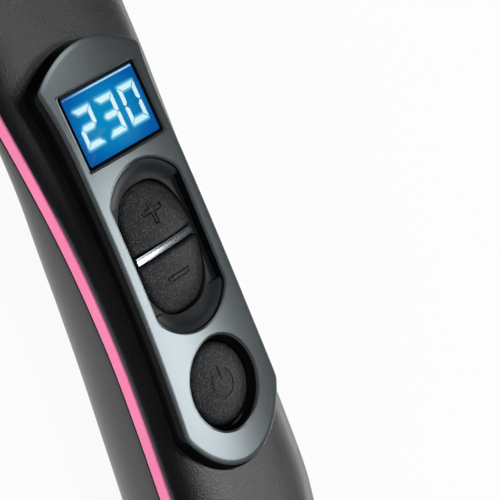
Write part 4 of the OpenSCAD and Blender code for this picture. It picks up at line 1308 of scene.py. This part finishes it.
@dataclass
class Display:
    """Window, bezel, blue backlit module and its figures."""

    panel: Panel
    digit_h: float = 7.9
    digit_w: float = 4.9
    pitch: float = 6.6
    bar: float = 1.0
    gap: float = 0.22
    aside: float = 0.35
    face: float = -0.98
    halo: tuple[tuple[float, float], ...] = ((0.62, 0.3), (0.42, 0.52), (0.22, 0.78))
    halo_rise: float = 0.006
    halo_t: float = 0.003
    stagger: float = 0.00004
    cell_light: tuple[Point, Point] = ((0.001, 0.25, 0.53), (0.001, 0.12, 0.4))
    bar_light: tuple[Point, Point] = ((0.3, 0.86, 1.0), (0.25, 0.8, 1.0))
    lit: tuple[str, ...] = ("abged", "abgcd", "abcdef")

    def glass(self, grow: float) -> list[Flat]:
        """Outline of the glass, a little to the right in its opening."""
        return [(x, y + 0.4 * self.aside) for x, y in self.panel.window(grow)]

    def bar_outline(self, place: int, name: str) -> list[Flat]:
        """Outline of one bar of the figure at a place, in the panel's local frame."""
        return [(-y, x + (place - 1) * self.pitch + self.aside) for x, y in self.bars()[name]]

    def bezel(self) -> bpy.types.Object:
        """Thin dark frame round the window."""
        put = ARCH.place(self.panel.display_x)
        outer, inner = self.panel.window(0.52), self.glass(-0.08)
        maker = MeshMaker("window_bezel")
        rings = [(outer, -4.4), (outer, -0.6), (grown(outer, -0.1), -0.52), (grown(inner, 0.1), -0.54),
                 (inner, -0.62), (inner, -4.4)]
        maker.loops([[put((x, y, z)) for x, y in o] for o, z in rings], around=True)
        return dress(maker.build(sharp_deg=30), Slot.PIANO, "brush", ["display_bezel"])

    def pane(self) -> bpy.types.Object:
        """Clear window."""
        put = ARCH.place(self.panel.display_x)
        obj = prism("window_pane", self.glass(-0.11), -0.86, -0.64, put)
        bevelled(obj, 0.06)
        glass = ClearPane(Slot.LENS, (0.01, 0.03, 0.045)).material()
        return dress(obj, Slot.LENS, "brush", ["display_lens"], glass)

    def module(self) -> bpy.types.Object:
        """Backlit blue module."""
        put = ARCH.place(self.panel.display_x)
        obj = prism("display_cell", self.glass(-0.1), -5.2, self.face, put)
        bevelled(obj, 0.05)
        c = put((0.0, 0.0, self.face))
        glow = Glow(Slot.DISPLAY, self.cell_light[0], (0.001, 0.09, 0.36), 1.0, c, (10.0, 13.5, 9.0))
        return dress(obj, Slot.DISPLAY, "brush", ["display_module"], glow.material())

    def bars(self) -> dict[str, list[Flat]]:
        """Mitred outlines of the seven bars, with local X as the figure's width and Y its height."""
        w, h, b, g = self.digit_w / 2, self.digit_h / 2, self.bar, self.gap
        top = [(-w + g, h), (-w + g + b, h - b), (w - g - b, h - b), (w - g, h)]
        right = [(w, h - g), (w - b, h - g - b), (w - b, g + b / 2), (w - b / 2, g / 2), (w, g)]
        m = w - b / 2 - g
        middle = [(-m, 0), (-m + b / 2, -b / 2), (m - b / 2, -b / 2), (m, 0), (m - b / 2, b / 2),
                  (-m + b / 2, b / 2)]

        def flipped(pts: list[Flat], sx: int, sy: int) -> list[Flat]:
            """Mirrored copy that stays counter-clockwise."""
            out = [(sx * x, sy * y) for x, y in pts]
            return list(reversed(out)) if sx * sy < 0 else out

        right = list(reversed(right))
        return {"a": top, "b": right, "c": flipped(right, 1, -1), "d": flipped(top, 1, -1),
                "e": flipped(right, -1, -1), "f": flipped(right, -1, 1), "g": middle}

    def figures(self) -> bpy.types.Object:
        """White seven-segment figures, their tops toward the head."""
        put = ARCH.place(self.panel.display_x)
        maker = MeshMaker("display_figures")
        for i, lit in enumerate(self.lit):
            for name in lit:
                local = self.bar_outline(i, name)
                maker.loops([[put((x, y, z)) for x, y in local] for z in (self.face + 0.03, self.face + 0.08)],
                            cap_first=True, cap_last=True)
        obj = maker.build(weld=False)
        c = put((0.0, 0.0, self.face))
        glow = Glow(Slot.DIGIT, (0.74, 0.96, 1.0), (0.5, 0.86, 1.0), 0.95, c, (16.0, 18.0, 9.0))
        return dress(obj, Slot.DIGIT, "brush", ["display_digits"], glow.material())

    def halos(self) -> None:
        """Light that spreads in the cell round the lit bars, in thin steps."""
        put = ARCH.place(self.panel.display_x)
        for k, (reach, share) in enumerate(self.halo):
            maker = MeshMaker(f"display_halo_{k + 1}")
            z = self.face + self.halo_rise * (k + 1)
            step = 0
            for i, lit in enumerate(self.lit):
                for name in lit:
                    ring = self.swollen(self.bar_outline(i, name), reach)
                    low = z + self.stagger * step
                    high = z + self.halo_t + self.stagger * step
                    maker.loops([[put((x, y, h)) for x, y in ring] for h in (low, high)],
                                cap_first=True, cap_last=True)
                    step += 1
            # The share is squared, so the light falls off faster than the halo grows
            middle, edge = (tuple(a + (b - a) * share * share for a, b in zip(cell, lamp))
                            for cell, lamp in zip(self.cell_light, self.bar_light))
            c = put((0.0, 0.0, self.face))
            glow = Glow(Slot.DISPLAY, middle, edge, 1.0, c, (12.0, 14.5, 9.0), maker.name)
            dress(maker.build(weld=False), Slot.DISPLAY, "brush", ["display_module"], glow.material())

    def painted_edge_highlight(self) -> bpy.types.Object:
        """Painted highlight: a pale glowing strip along the cell's head edge, standing in for the highlight on
        that edge.
        """
        put = ARCH.place(self.panel.display_x)
        near, half_w = -self.panel.display_l / 2 + 0.25, self.panel.display_w / 2 - 0.5
        strip = [(near, -half_w), (near + 0.35, -half_w), (near + 0.35, half_w), (near, half_w)]
        obj = prism("display_painted_edge_highlight", [(x, y + self.aside) for x, y in strip],
                    self.face + 0.02, self.face + 0.05, put)
        # The glow paints the highlight along the cell's head edge
        c = put((near, 3.0, self.face))
        glow = Glow(Slot.DISPLAY, (0.42, 0.72, 0.88), (0.01, 0.2, 0.5), 1.0, c, (9.0, 14.0, 9.0),
                    "display_painted_edge_highlight")
        return dress(obj, Slot.DISPLAY, "brush", ["display_module"], glow.material())

    @staticmethod
    def swollen(ring: list[Flat], reach: float) -> list[Flat]:
        """Outline at an even distance round a small convex one, with round corners."""
        out: list[Flat] = []
        n = len(ring)
        for i in range(n):
            a, p, b = ring[i - 1], ring[i], ring[(i + 1) % n]
            first = math.atan2(-(p[0] - a[0]), p[1] - a[1])
            turn = (math.atan2(-(b[0] - p[0]), b[1] - p[1]) - first + math.pi) % (2 * math.pi) - math.pi
            for k in range(5):
                t = first + turn * k / 4
                out.append((p[0] + reach * math.cos(t), p[1] + reach * math.sin(t)))
        return out

    def build(self) -> None:
        """Build and dress the display."""
        self.bezel()
        self.pane()
        self.module()
        self.halos()
        self.painted_edge_highlight()
        self.figures()


# ---------- Keys ----------


def cushion_top(name: str, outline: Sequence[Flat], centre: Flat, top: Callable[[float, float], float],
                put: Callable[[Point], Point], roll: Flat, low: float, rings: int = 22) -> bpy.types.Object:
    """Key cap with a crowned top, a rolled edge and straight walls.

    Args:
        name: name of the object.
        outline: counter-clockwise outline.
        centre: place that the top's rings close on.
        top: height of the top at a place.
        put: mapping from the local frame.
        roll: width and height of the rolled edge.
        low: height of the walls' lower end.
        rings: rings of the top.

    Returns:
        The new object.
    """
    maker = MeshMaker(name)
    loops = [[put((x, y, low)) for x, y in outline]]
    for a in range(0, 91, 10):
        d = roll[0] * (1 - math.cos(math.radians(a)))
        drop = roll[1] * (1 - math.sin(math.radians(a)))
        loops.append([put((x, y, top(x, y) - drop)) for x, y in grown(outline, -d)])
    inner = grown(outline, -roll[0])
    for k in range(1, rings + 1):
        t = k / rings
        loops.append([put((x + (centre[0] - x) * t, y + (centre[1] - y) * t,
                           top(x + (centre[0] - x) * t, y + (centre[1] - y) * t))) for x, y in inner])
    maker.loops(loops, cap_first=True)
    return maker.build(sharp_deg=50)


def groove(name: str, route: Sequence[Flat], width: float, z0: float, z1: float,
           put: Callable[[Point], Point], closed: bool) -> bpy.types.Object:
    """Cutter for an engraved line.

    Args:
        name: name of the object.
        route: points of the line.
        width: its width.
        z0: lower height.
        z1: upper height.
        put: mapping from the local frame.
        closed: whether the line closes on itself.

    Returns:
        The new object.
    """
    n = len(route)
    left: list[Flat] = []
    right: list[Flat] = []
    for i in range(n):
        a = route[i - 1] if closed or i > 0 else route[i]
        b = route[(i + 1) % n] if closed or i < n - 1 else route[i]
        p = route[i]
        d1 = Vector((p[0] - a[0], p[1] - a[1]))
        d2 = Vector((b[0] - p[0], b[1] - p[1]))
        d1 = d1.normalized() if d1.length > 0 else d2.normalized()
        d2 = d2.normalized() if d2.length > 0 else d1
        bend = (d1 + d2).normalized()
        size = width / 2 / max(0.5, bend.dot(d1))
        left.append((p[0] - bend.y * size, p[1] + bend.x * size))
        right.append((p[0] + bend.y * size, p[1] - bend.x * size))
    maker = MeshMaker(name)
    rows = [[put((lx, ly, z0)), put((rx, ry, z0)), put((rx, ry, z1)), put((lx, ly, z1))]
            for (lx, ly), (rx, ry) in zip(left, right)]
    maker.loops(rows, around=closed, cap_first=not closed, cap_last=not closed, flip=True)
    return maker.build()


@dataclass
class PairKeys:
    """The plus and minus keys and the chrome divider between them."""

    x: float = 50.6
    length: float = 26.2
    width: float = 18.4
    power: float = 2.6
    divider_t: float = 1.6
    divider_l: float = 17.4
    divider_bow: float = 100.0
    divider_top_y: float = -4.5
    gap: float = 0.35
    down: float = 0.45
    cap_r: float = 40.0
    line_w: float = 0.38
    line_deep: float = 0.3
    plus_x: float = -7.6
    plus_size: float = 5.5
    plus_bar: float = 0.9
    minus_x: float = 6.2
    minus_l: float = 6.0
    minus_bar: float = 0.95

    def pair_outline(self, count: int = 240) -> list[Flat]:
        """Shared outline of both keys, a superellipse."""
        out = []
        for i in range(count):
            a = 2 * math.pi * i / count
            c, s = math.cos(a), math.sin(a)
            out.append((self.length / 2 * math.copysign(abs(c) ** (2 / self.power), c),
                        self.width / 2 * math.copysign(abs(s) ** (2 / self.power), s)))
        return out

    def half(self, side: int) -> list[Flat]:
        """Outline of one key, a gap off the divider's side."""
        edge = self.divider_t / 2 + self.gap
        pts = [p for p in self.pair_outline() if side * p[0] > edge]
        if side > 0:
            k = max(range(len(pts)), key=lambda i: math.dist(pts[i], pts[i - 1]))
            pts = pts[k:] + pts[:k]
        first, last = pts[0], pts[-1]
        pts = [(side * edge, first[1])] + pts + [(side * edge, last[1])]
        return resampled(softened(pts, 1.0, 30.0), 200)

    def top(self, x: float, y: float) -> float:
        """Height of the keys' shared crown."""
        return -self.down - self.cap_r + math.sqrt(self.cap_r ** 2 - x * x - y * y)

    def key(self, name: str, side: int) -> bpy.types.Object:
        """One key with its stem and flange."""
        put = ARCH.place(self.x)
        outline = self.half(side)
        cap = cushion_top(name, outline, (side * 6.8, 0.0), self.top, put, (1.1, 0.75), -6.0)
        for route, closed in (self.plus_routes() if side < 0 else self.minus_routes()):
            deepest = self.top(self.plus_x if side < 0 else self.minus_x, 0) - self.line_deep
            cut(cap, groove("line", route, self.line_w, deepest - 0.12, 1.0, put, closed), 50)
        flange = prism("flange", grown(outline, 0.9), -6.85, -5.85, put)
        stem = prism("stem", circle(1.8, 48, (side * 6.6, 0.0)), -7.3, -6.5, put)
        bevelled(flange, 0.15)
        key = joined(name, [cap, flange, stem])
        body, node = ("plus", "plus_button") if side < 0 else ("minus", "minus_button")
        return dress(key, Slot.BUTTON, body, [node])

    def plus_routes(self) -> list[tuple[list[Flat], bool]]:
        """Outline of the plus sign as engraved lines."""
        s, b, x = self.plus_size / 2, self.plus_bar / 2, self.plus_x
        pts = [(s, -b), (s, b), (b, b), (b, s), (-b, s), (-b, b), (-s, b), (-s, -b), (-b, -b), (-b, -s),
               (b, -s), (b, -b)]
        return [([(px + x, py) for px, py in pts], True)]

    def minus_routes(self) -> list[tuple[list[Flat], bool]]:
        """Outline of the minus sign as engraved lines."""
        s, b, x = self.minus_l / 2, self.minus_bar / 2, self.minus_x
        return [([(x + b, -s), (x + b, s), (x - b, s), (x - b, -s)], True)]

    def divider(self) -> bpy.types.Object:
        """Chrome bar between the keys."""
        put = ARCH.place(self.x)
        t, l, r = self.divider_t / 2, self.divider_l / 2, 0.09
        rings = []
        for i in range(25):
            y = l - 2 * l * i / 24
            top = -1.2 - (y - self.divider_top_y) ** 2 / (2 * self.divider_bow)
            section = [(-t, -2.3), (-t, top - r), (-t + 0.3 * r, top - 0.3 * r), (-t + r, top),
                       (t - r, top), (t - 0.3 * r, top - 0.3 * r), (t, top - r), (t, -2.3)]
            rings.append([put((x, y, z)) for x, z in section])
        maker = MeshMaker("key_divider")
        maker.loops(rings, cap_first=True, cap_last=True, flip=True)
        return dress(maker.build(sharp_deg=30), Slot.DIVIDER, "brush", ["divider_bar"])

    def build(self) -> None:
        """Build and dress both keys and the divider."""
        self.key("plus_key", -1)
        self.key("minus_key", 1)
        self.divider()


@dataclass
class PowerKey:
    """The round power key with its engraved sign."""

    x: float = 80.2
    r: float = 8.25
    down: float = 0.65
    cap_r: float = 34.0
    sign_r: float = 2.95
    stem: Flat = (-3.9, -0.7)
    gap_deg: float = 38.0
    line_w: float = 0.38
    line_deep: float = 0.3

    def top(self, x: float, y: float) -> float:
        """Height of the key's crown."""
        return -self.down - self.cap_r + math.sqrt(self.cap_r ** 2 - x * x - y * y)

    def build(self) -> bpy.types.Object:
        """Build and dress the key."""
        put = ARCH.place(self.x)
        cap = cushion_top("power_key", circle(self.r, 160), (0.0, 0.0), self.top, put, (1.3, 0.9), -6.0)
        deepest = self.top(0, 0) - self.line_deep
        arc = [(self.sign_r * math.cos(math.radians(180 + a)), self.sign_r * math.sin(math.radians(180 + a)))
               for a in (self.gap_deg + (360 - 2 * self.gap_deg) * i / 40 for i in range(41))]
        for route in (arc, [(self.stem[0], 0.0), (self.stem[1], 0.0)]):
            cut(cap, groove("line", route, self.line_w, deepest, 1.0, put, False), 50)
        flange = prism("flange", circle(9.6, 120), -6.35, -5.4, put)
        stem = prism("stem", circle(1.8, 48), -6.5, -6.0, put)
        return dress(joined("power_key", [cap, flange, stem]), Slot.BUTTON, "power", ["power_button"])


# ---------- Head ----------


def head_outline(grow: float, count: int = 360) -> list[Flat]:
    """Rounded outline of the heated plate, grown outward."""
    l, w, r = (size + grow for size in PLATE)
    return resampled(rounded_box(l, w, r, 3, FORM.head_x), count)


@dataclass
class Head:
    """Toothed plate, ball tips, pins and the scalloped pin frame."""

    form: BrushForm = FORM
    rows: tuple[int, ...] = (11, 10, 7)
    tooth_pitch: float = 8.4
    column_pitch: float = 11.0
    plate_z: float = 27.8
    tooth_h: float = 10.5
    tip_r: float = 2.0
    tip_rise: float = 0.7
    leaf_off: float = 3.4
    leaf_r: Flat = (6.8, 5.5)
    pin_count: int = 36
    pin_r: float = 1.0
    pin_h: float = 19.0
    frame_z: Flat = (22.2, 24.9)
    trough_r: float = 3.6
    trough_deep: float = 1.3
    tooth_steps: tuple[Flat, ...] = (
        (0.0, 0.0), (0.5, -0.02), (2.0, 0.0), (5.0, 0.0), (8.0, 0.0), (9.6, 0.0), (10.1, -0.12),
        (10.4, -0.38), (10.5, -0.75))

    def teeth(self) -> list[Flat]:
        """Places of the teeth, in staggered columns."""
        out = []
        for c in range(-2, 3):
            n = self.rows[abs(c)]
            out += [(self.form.head_x + (r - (n - 1) / 2) * self.tooth_pitch, c * self.column_pitch)
                    for r in range(n)]
        return out

    def leaf(self, z: float, steps: int = 14) -> list[Flat]:
        """Section of a tooth at a height over the plate."""
        t = z / self.tooth_h
        big = self.leaf_r[0] + (self.leaf_r[1] - self.leaf_r[0]) * t
        reach = math.degrees(math.acos(self.leaf_off / big))
        half = [(-self.leaf_off + big * math.cos(math.radians(a)), big * math.sin(math.radians(a)))
                for a in (-reach + 2 * reach * i / steps for i in range(steps))]
        return half + [(-x, -y) for x, y in half]

    def comb(self) -> bpy.types.Object:
        """All of the teeth, each with a soft foot and a rounded top."""
        maker = MeshMaker("plate_teeth")
        for tx, ty in self.teeth():
            loops = []
            for z, grow in self.tooth_steps:
                section = self.leaf(z)
                if grow < 0:
                    section = grown(section, grow)
                loops.append([(tx + x, ty + y, self.plate_z + z) for x, y in section])
            maker.loops(loops, cap_last=True)
        return dress(maker.build(sharp_deg=40, weld=False), Slot.PLATE, "brush", ["heating_teeth"])

    def tips(self) -> bpy.types.Object:
        """Matte ball on every tooth."""
        maker = MeshMaker("tooth_balls")
        z = self.plate_z + self.tooth_h + self.tip_rise
        for tx, ty in self.teeth():
            loops = []
            for i in range(1, 16):
                a = math.radians(-90 + 180 * i / 16)
                r = self.tip_r * math.cos(a)
                loops.append([(tx + x, ty + y, z + self.tip_r * math.sin(a)) for x, y in circle(r, 28)])
            maker.loops(loops, cap_first=True, cap_last=True)
        return dress(maker.build(sharp_deg=60, weld=False), Slot.TIP, "brush", ["tooth_tips"])

    def pin_places(self) -> list[tuple[float, float]]:
        """Places of the pins on their closed path, in the order of the path."""
        path, mid = head_outline(PIN_PATH, 7200), self.form.head_x
        centre_top = max(range(len(path)),
                         key=lambda i: (round(path[i][1], 4), -abs(path[i][0] - mid)))
        step = len(path) / self.pin_count
        return [path[int(centre_top + (i + 0.5) * step) % len(path)] for i in range(self.pin_count)]

    def pins(self) -> bpy.types.Object:
        """Slightly tapered pins with round heads."""
        maker = MeshMaker("rim_pins")
        z0, h, r = self.frame_z[0], self.pin_h, self.pin_r
        for px, py in self.pin_places():
            rings = [(r, z0), (r, z0 + 4.0), (r * 0.93, z0 + h - 2.6), (r * 0.9, z0 + h - 1.4),
                     (r * 0.95, z0 + h - 0.9)]
            rings += [(r * math.cos(math.radians(a)), z0 + h + r * math.sin(math.radians(a)))
                      for a in range(-40, 86, 14)]
            maker.loops([[(px + x, py + y, z) for x, y in circle(rr, 24)] for rr, z in rings],
                        cap_first=True, cap_last=True)
        return dress(maker.build(sharp_deg=60, weld=False), Slot.PIN, "brush", ["edge_pins"])

    def rim(self) -> bpy.types.Object:
        """Pin frame with a trough across it at every pin."""
        count = self.pin_count * 30
        inner, middle, outer = (head_outline(off, count) for off in (RIM_IN, PIN_PATH, RIM_OUT))
        pins = self.pin_places()
        z0, z1 = self.frame_z
        rings = []
        for k in range(count):
            m = middle[k]
            d = min(math.dist(m, p) for p in pins)
            reach = math.sqrt(self.trough_r ** 2 - (self.trough_r - self.trough_deep) ** 2)
            low = z1
            if d < reach:
                low = z1 - self.trough_deep + self.trough_r - math.sqrt(self.trough_r ** 2 - d * d)
            a, b = inner[k], outer[k]

            def at(t: float, z: float) -> Point:
                """Point across the rim."""
                return a[0] + (b[0] - a[0]) * t, a[1] + (b[1] - a[1]) * t, z

            rings.append([at(0, z0), at(0, low - 0.35), at(0.03, low - 0.1), at(0.09, low), at(0.5, low),
                          at(0.91, low), at(0.97, low - 0.1), at(1, low - 0.35), at(1, z0)])
        maker = MeshMaker("pin_rim")
        maker.loops(rings, around=True)
        return dress(maker.build(sharp_deg=45), Slot.FRAME, "brush", ["pin_frame"])

    def build(self) -> None:
        """Build and dress the head."""
        self.comb()
        self.tips()
        self.pins()
        self.rim()


# ---------- Cord outlet ----------


@dataclass
class CordOutlet:
    """Swivelling bush that the cord leaves by, with ribs on its sleeve."""

    axis_z: float = OUTLET_Z
    tail_x: float = 137.0
    end_x: float = 144.0
    bore_r: float = 3.4

    def build(self) -> bpy.types.Object:
        """Build and dress the bush."""
        t, e = self.tail_x, self.end_x
        profile = [(t - 22, self.bore_r), (t - 22, 3.9), (t - 12.8, 3.9), (t - 12.8, 6.6), (t - 9.4, 6.6),
                   (t - 9.4, 5.2), (t - 1.1, 5.2), (t - 1.1, 7.0), (t + 1.2, 7.0), (t + 1.6, 6.8),
                   (t + 1.9, 6.3), (t + 2.2, 5.9)]
        x = t + 2.6
        for _ in range(3):
            profile += [(x, 5.9), (x + 0.25, 6.05), (x + 0.75, 6.0), (x + 0.95, 5.5), (x + 1.15, 5.3)]
            x += 1.45
        profile += [(e - 0.7, 5.2), (e - 0.2, 4.9), (e, 4.4), (e, self.bore_r + 0.3), (e - 0.3, self.bore_r)]
        bush = turned("cord_bush", profile, self.axis_z)
        shade(bush, 45)
        return dress(bush, Slot.BUSH, "swivel", ["swivel_bush"])


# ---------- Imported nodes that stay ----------


@dataclass
class InnerWorks:
    """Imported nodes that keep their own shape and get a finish."""

    slots: tuple[tuple[str, Slot], ...] = (
        ("plate_surround", Slot.PIANO), ("heating_plate", Slot.PLATE), ("head_chassis", Slot.CHASSIS),
        ("heater_slabs", Slot.PTC), ("mica_sheet", Slot.MICA), ("heater_clamp", Slot.CLAMP),
        ("clamp_screws", Slot.SCREW), ("heat_shield", Slot.SHIELD), ("thermistor", Slot.SENSOR),
        ("thermal_fuse", Slot.FUSE), ("heater_leads", Slot.LEAD), ("control_board", Slot.BOARD),
        ("dome_switches", Slot.DOME), ("power_board", Slot.BOARD), ("board_parts", Slot.PARTS),
        ("slip_rings", Slot.CONTACT), ("contact_block", Slot.BLOCK), ("contact_springs", Slot.CONTACT),
        ("housing_screws", Slot.SCREW))

    def build(self) -> None:
        """Dress the nodes."""
        for name, slot in self.slots:
            dress(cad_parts[name], slot)


# ---------- Studio ----------


@dataclass
class Studio:
    """Camera, floor, world and lamps."""

    camera_at: Point = (-37.27, -336.08, 386.87)
    right: Point = (0.37510676, 0.59788834, 0.70839569)
    up: Point = (-0.90700344, 0.39452456, 0.14729266)
    back: Point = (-0.19141493, -0.6977678, 0.69027561)
    lens: float = 184.15
    floor_share: float = 0.93

    def camera(self) -> None:
        """Camera at the photograph's place."""
        data = bpy.data.cameras.new("camera")
        data.lens, data.sensor_width, data.clip_start, data.clip_end = self.lens, 36.0, 0.01, 50.0
        obj = bpy.data.objects.new("camera", data)
        bpy.context.collection.objects.link(obj)
        axes = [Vector(a).normalized() for a in (self.right, self.up, self.back)]
        turn = Matrix([[a[i] for a in axes] for i in range(3)]).to_4x4()
        obj.matrix_world = Matrix.Translation(Vector(self.camera_at) * MM) @ turn
        bpy.context.scene.camera = obj

    def floor(self) -> None:
        """White floor that keeps a soft shadow."""
        mesh = bpy.data.meshes.new("floor")
        s = 12.0
        mesh.from_pydata([(-s, -s, 0), (s, -s, 0), (s, s, 0), (-s, s, 0)], [], [(0, 1, 2, 3)])
        obj = bpy.data.objects.new("floor", mesh)
        obj.location.z = -0.0003
        bpy.context.collection.objects.link(obj)
        mat = bpy.data.materials.new("floor_white")
        nodes = Nodes(mat)
        shader = nodes.feed(nodes.tree.nodes["Principled BSDF"],
                            {"Base Color": (0.9, 0.9, 0.9, 1), "Roughness": 0.9})
        glow = nodes.add("Emission", {"Color": (1, 1, 1, 1)})
        rays = nodes.add("LightPath").outputs
        seen = rays["Is Camera Ray"]
        for kind in ("Is Transmission Ray", "Is Glossy Ray"):
            seen = nodes.combined("MAXIMUM", seen, rays[kind])
        mix = nodes.add("MixShader", {"Fac": nodes.combined("MULTIPLY", seen, self.floor_share),
                                      1: shader.outputs["BSDF"], 2: glow.outputs["Emission"]})
        nodes.feed(nodes.tree.nodes["Material Output"], {"Surface": mix.outputs["Shader"]})
        mesh.materials.append(mat)

    def world(self) -> None:
        """Plain surroundings, pale round the horizon and dim overhead."""
        world = bpy.data.worlds.new("surroundings")
        bpy.context.scene.world = world
        nodes = Nodes(world)
        split = nodes.add("SeparateXYZ", {"Vector": nodes.add("TexCoord").outputs["Generated"]})
        stops = [(place, (level, level, level * 1.03))
                 for place, level in ((0.05, 0.4), (0.16, 0.12), (0.4, 0.05))]
        color = nodes.ramp(split.outputs["Z"],
                           [(0.0, (0.6, 0.6, 0.6)), *stops, (0.9, (0.03, 0.0305, 0.032))])
        nodes.feed(nodes.tree.nodes["Background"], {"Color": color, "Strength": 1.0})

    def lamp(self, name: str, bearing: Flat, far: float, size: Flat, radiance: float,
             glossy: bool = True, turn: float = 0.0) -> None:
        """Soft rectangular lamp that faces the panel.

        Args:
            name: name of the lamp.
            bearing: degrees from +Y toward +X, and degrees over the horizon.
            far: distance from the panel in metres.
            size: its width and height in metres.
            radiance: brightness of its face.
            glossy: whether glossy surfaces show it.
            turn: degrees that it is turned about its own axis.
        """
        data = bpy.data.lights.new(name, "AREA")
        data.shape, data.size, data.size_y = "RECTANGLE", size[0], size[1]
        data.energy = radiance * size[0] * size[1] * math.pi
        obj = bpy.data.objects.new(name, data)
        bpy.context.collection.objects.link(obj)
        az, el = math.radians(bearing[0]), math.radians(bearing[1])
        way = Vector((math.sin(az) * math.cos(el), math.cos(az) * math.cos(el), math.sin(el)))
        obj.location = Vector((0.05, 0.0, 0.03)) + way * far
        face = way.to_track_quat("Z", "Y") @ Quaternion((0, 0, 1), math.radians(turn))
        obj.rotation_euler = face.to_euler()
        obj.visible_glossy = glossy

    def build(self) -> None:
        """Set up the studio."""
        bpy.context.scene.view_settings.view_transform = "Standard"
        self.camera()
        self.floor()
        self.world()
        self.lamp("softbox", (24.0, 50.0), 1.2, (0.44, 0.26), 6.6, turn=14.0)
        self.lamp("neck_box", (-19.0, 54.0), 1.2, (0.34, 0.26), 2.8)
        self.lamp("back_strip", (18.0, 9.0), 1.3, (1.1, 0.2), 5.5)
        self.lamp("side_fill", (180.0, 24.0), 1.2, (0.9, 0.5), 6.5, glossy=False)
        self.lamp("top_fill", (160.0, 80.0), 1.4, (0.8, 0.8), 4.0, glossy=False)


def main() -> None:
    """Build, dress and report every piece."""
    logging.basicConfig(level=logging.INFO, format="%(name)s: %(message)s")
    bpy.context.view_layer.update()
    Studio().build()
    Housings().build()
    panel = Panel()
    panel.build()
    Display(panel).build()
    PairKeys().build()
    PowerKey().build()
    Head().build()
    CordOutlet().build()
    InnerWorks().build()


if __name__ == "__main__":
    main()
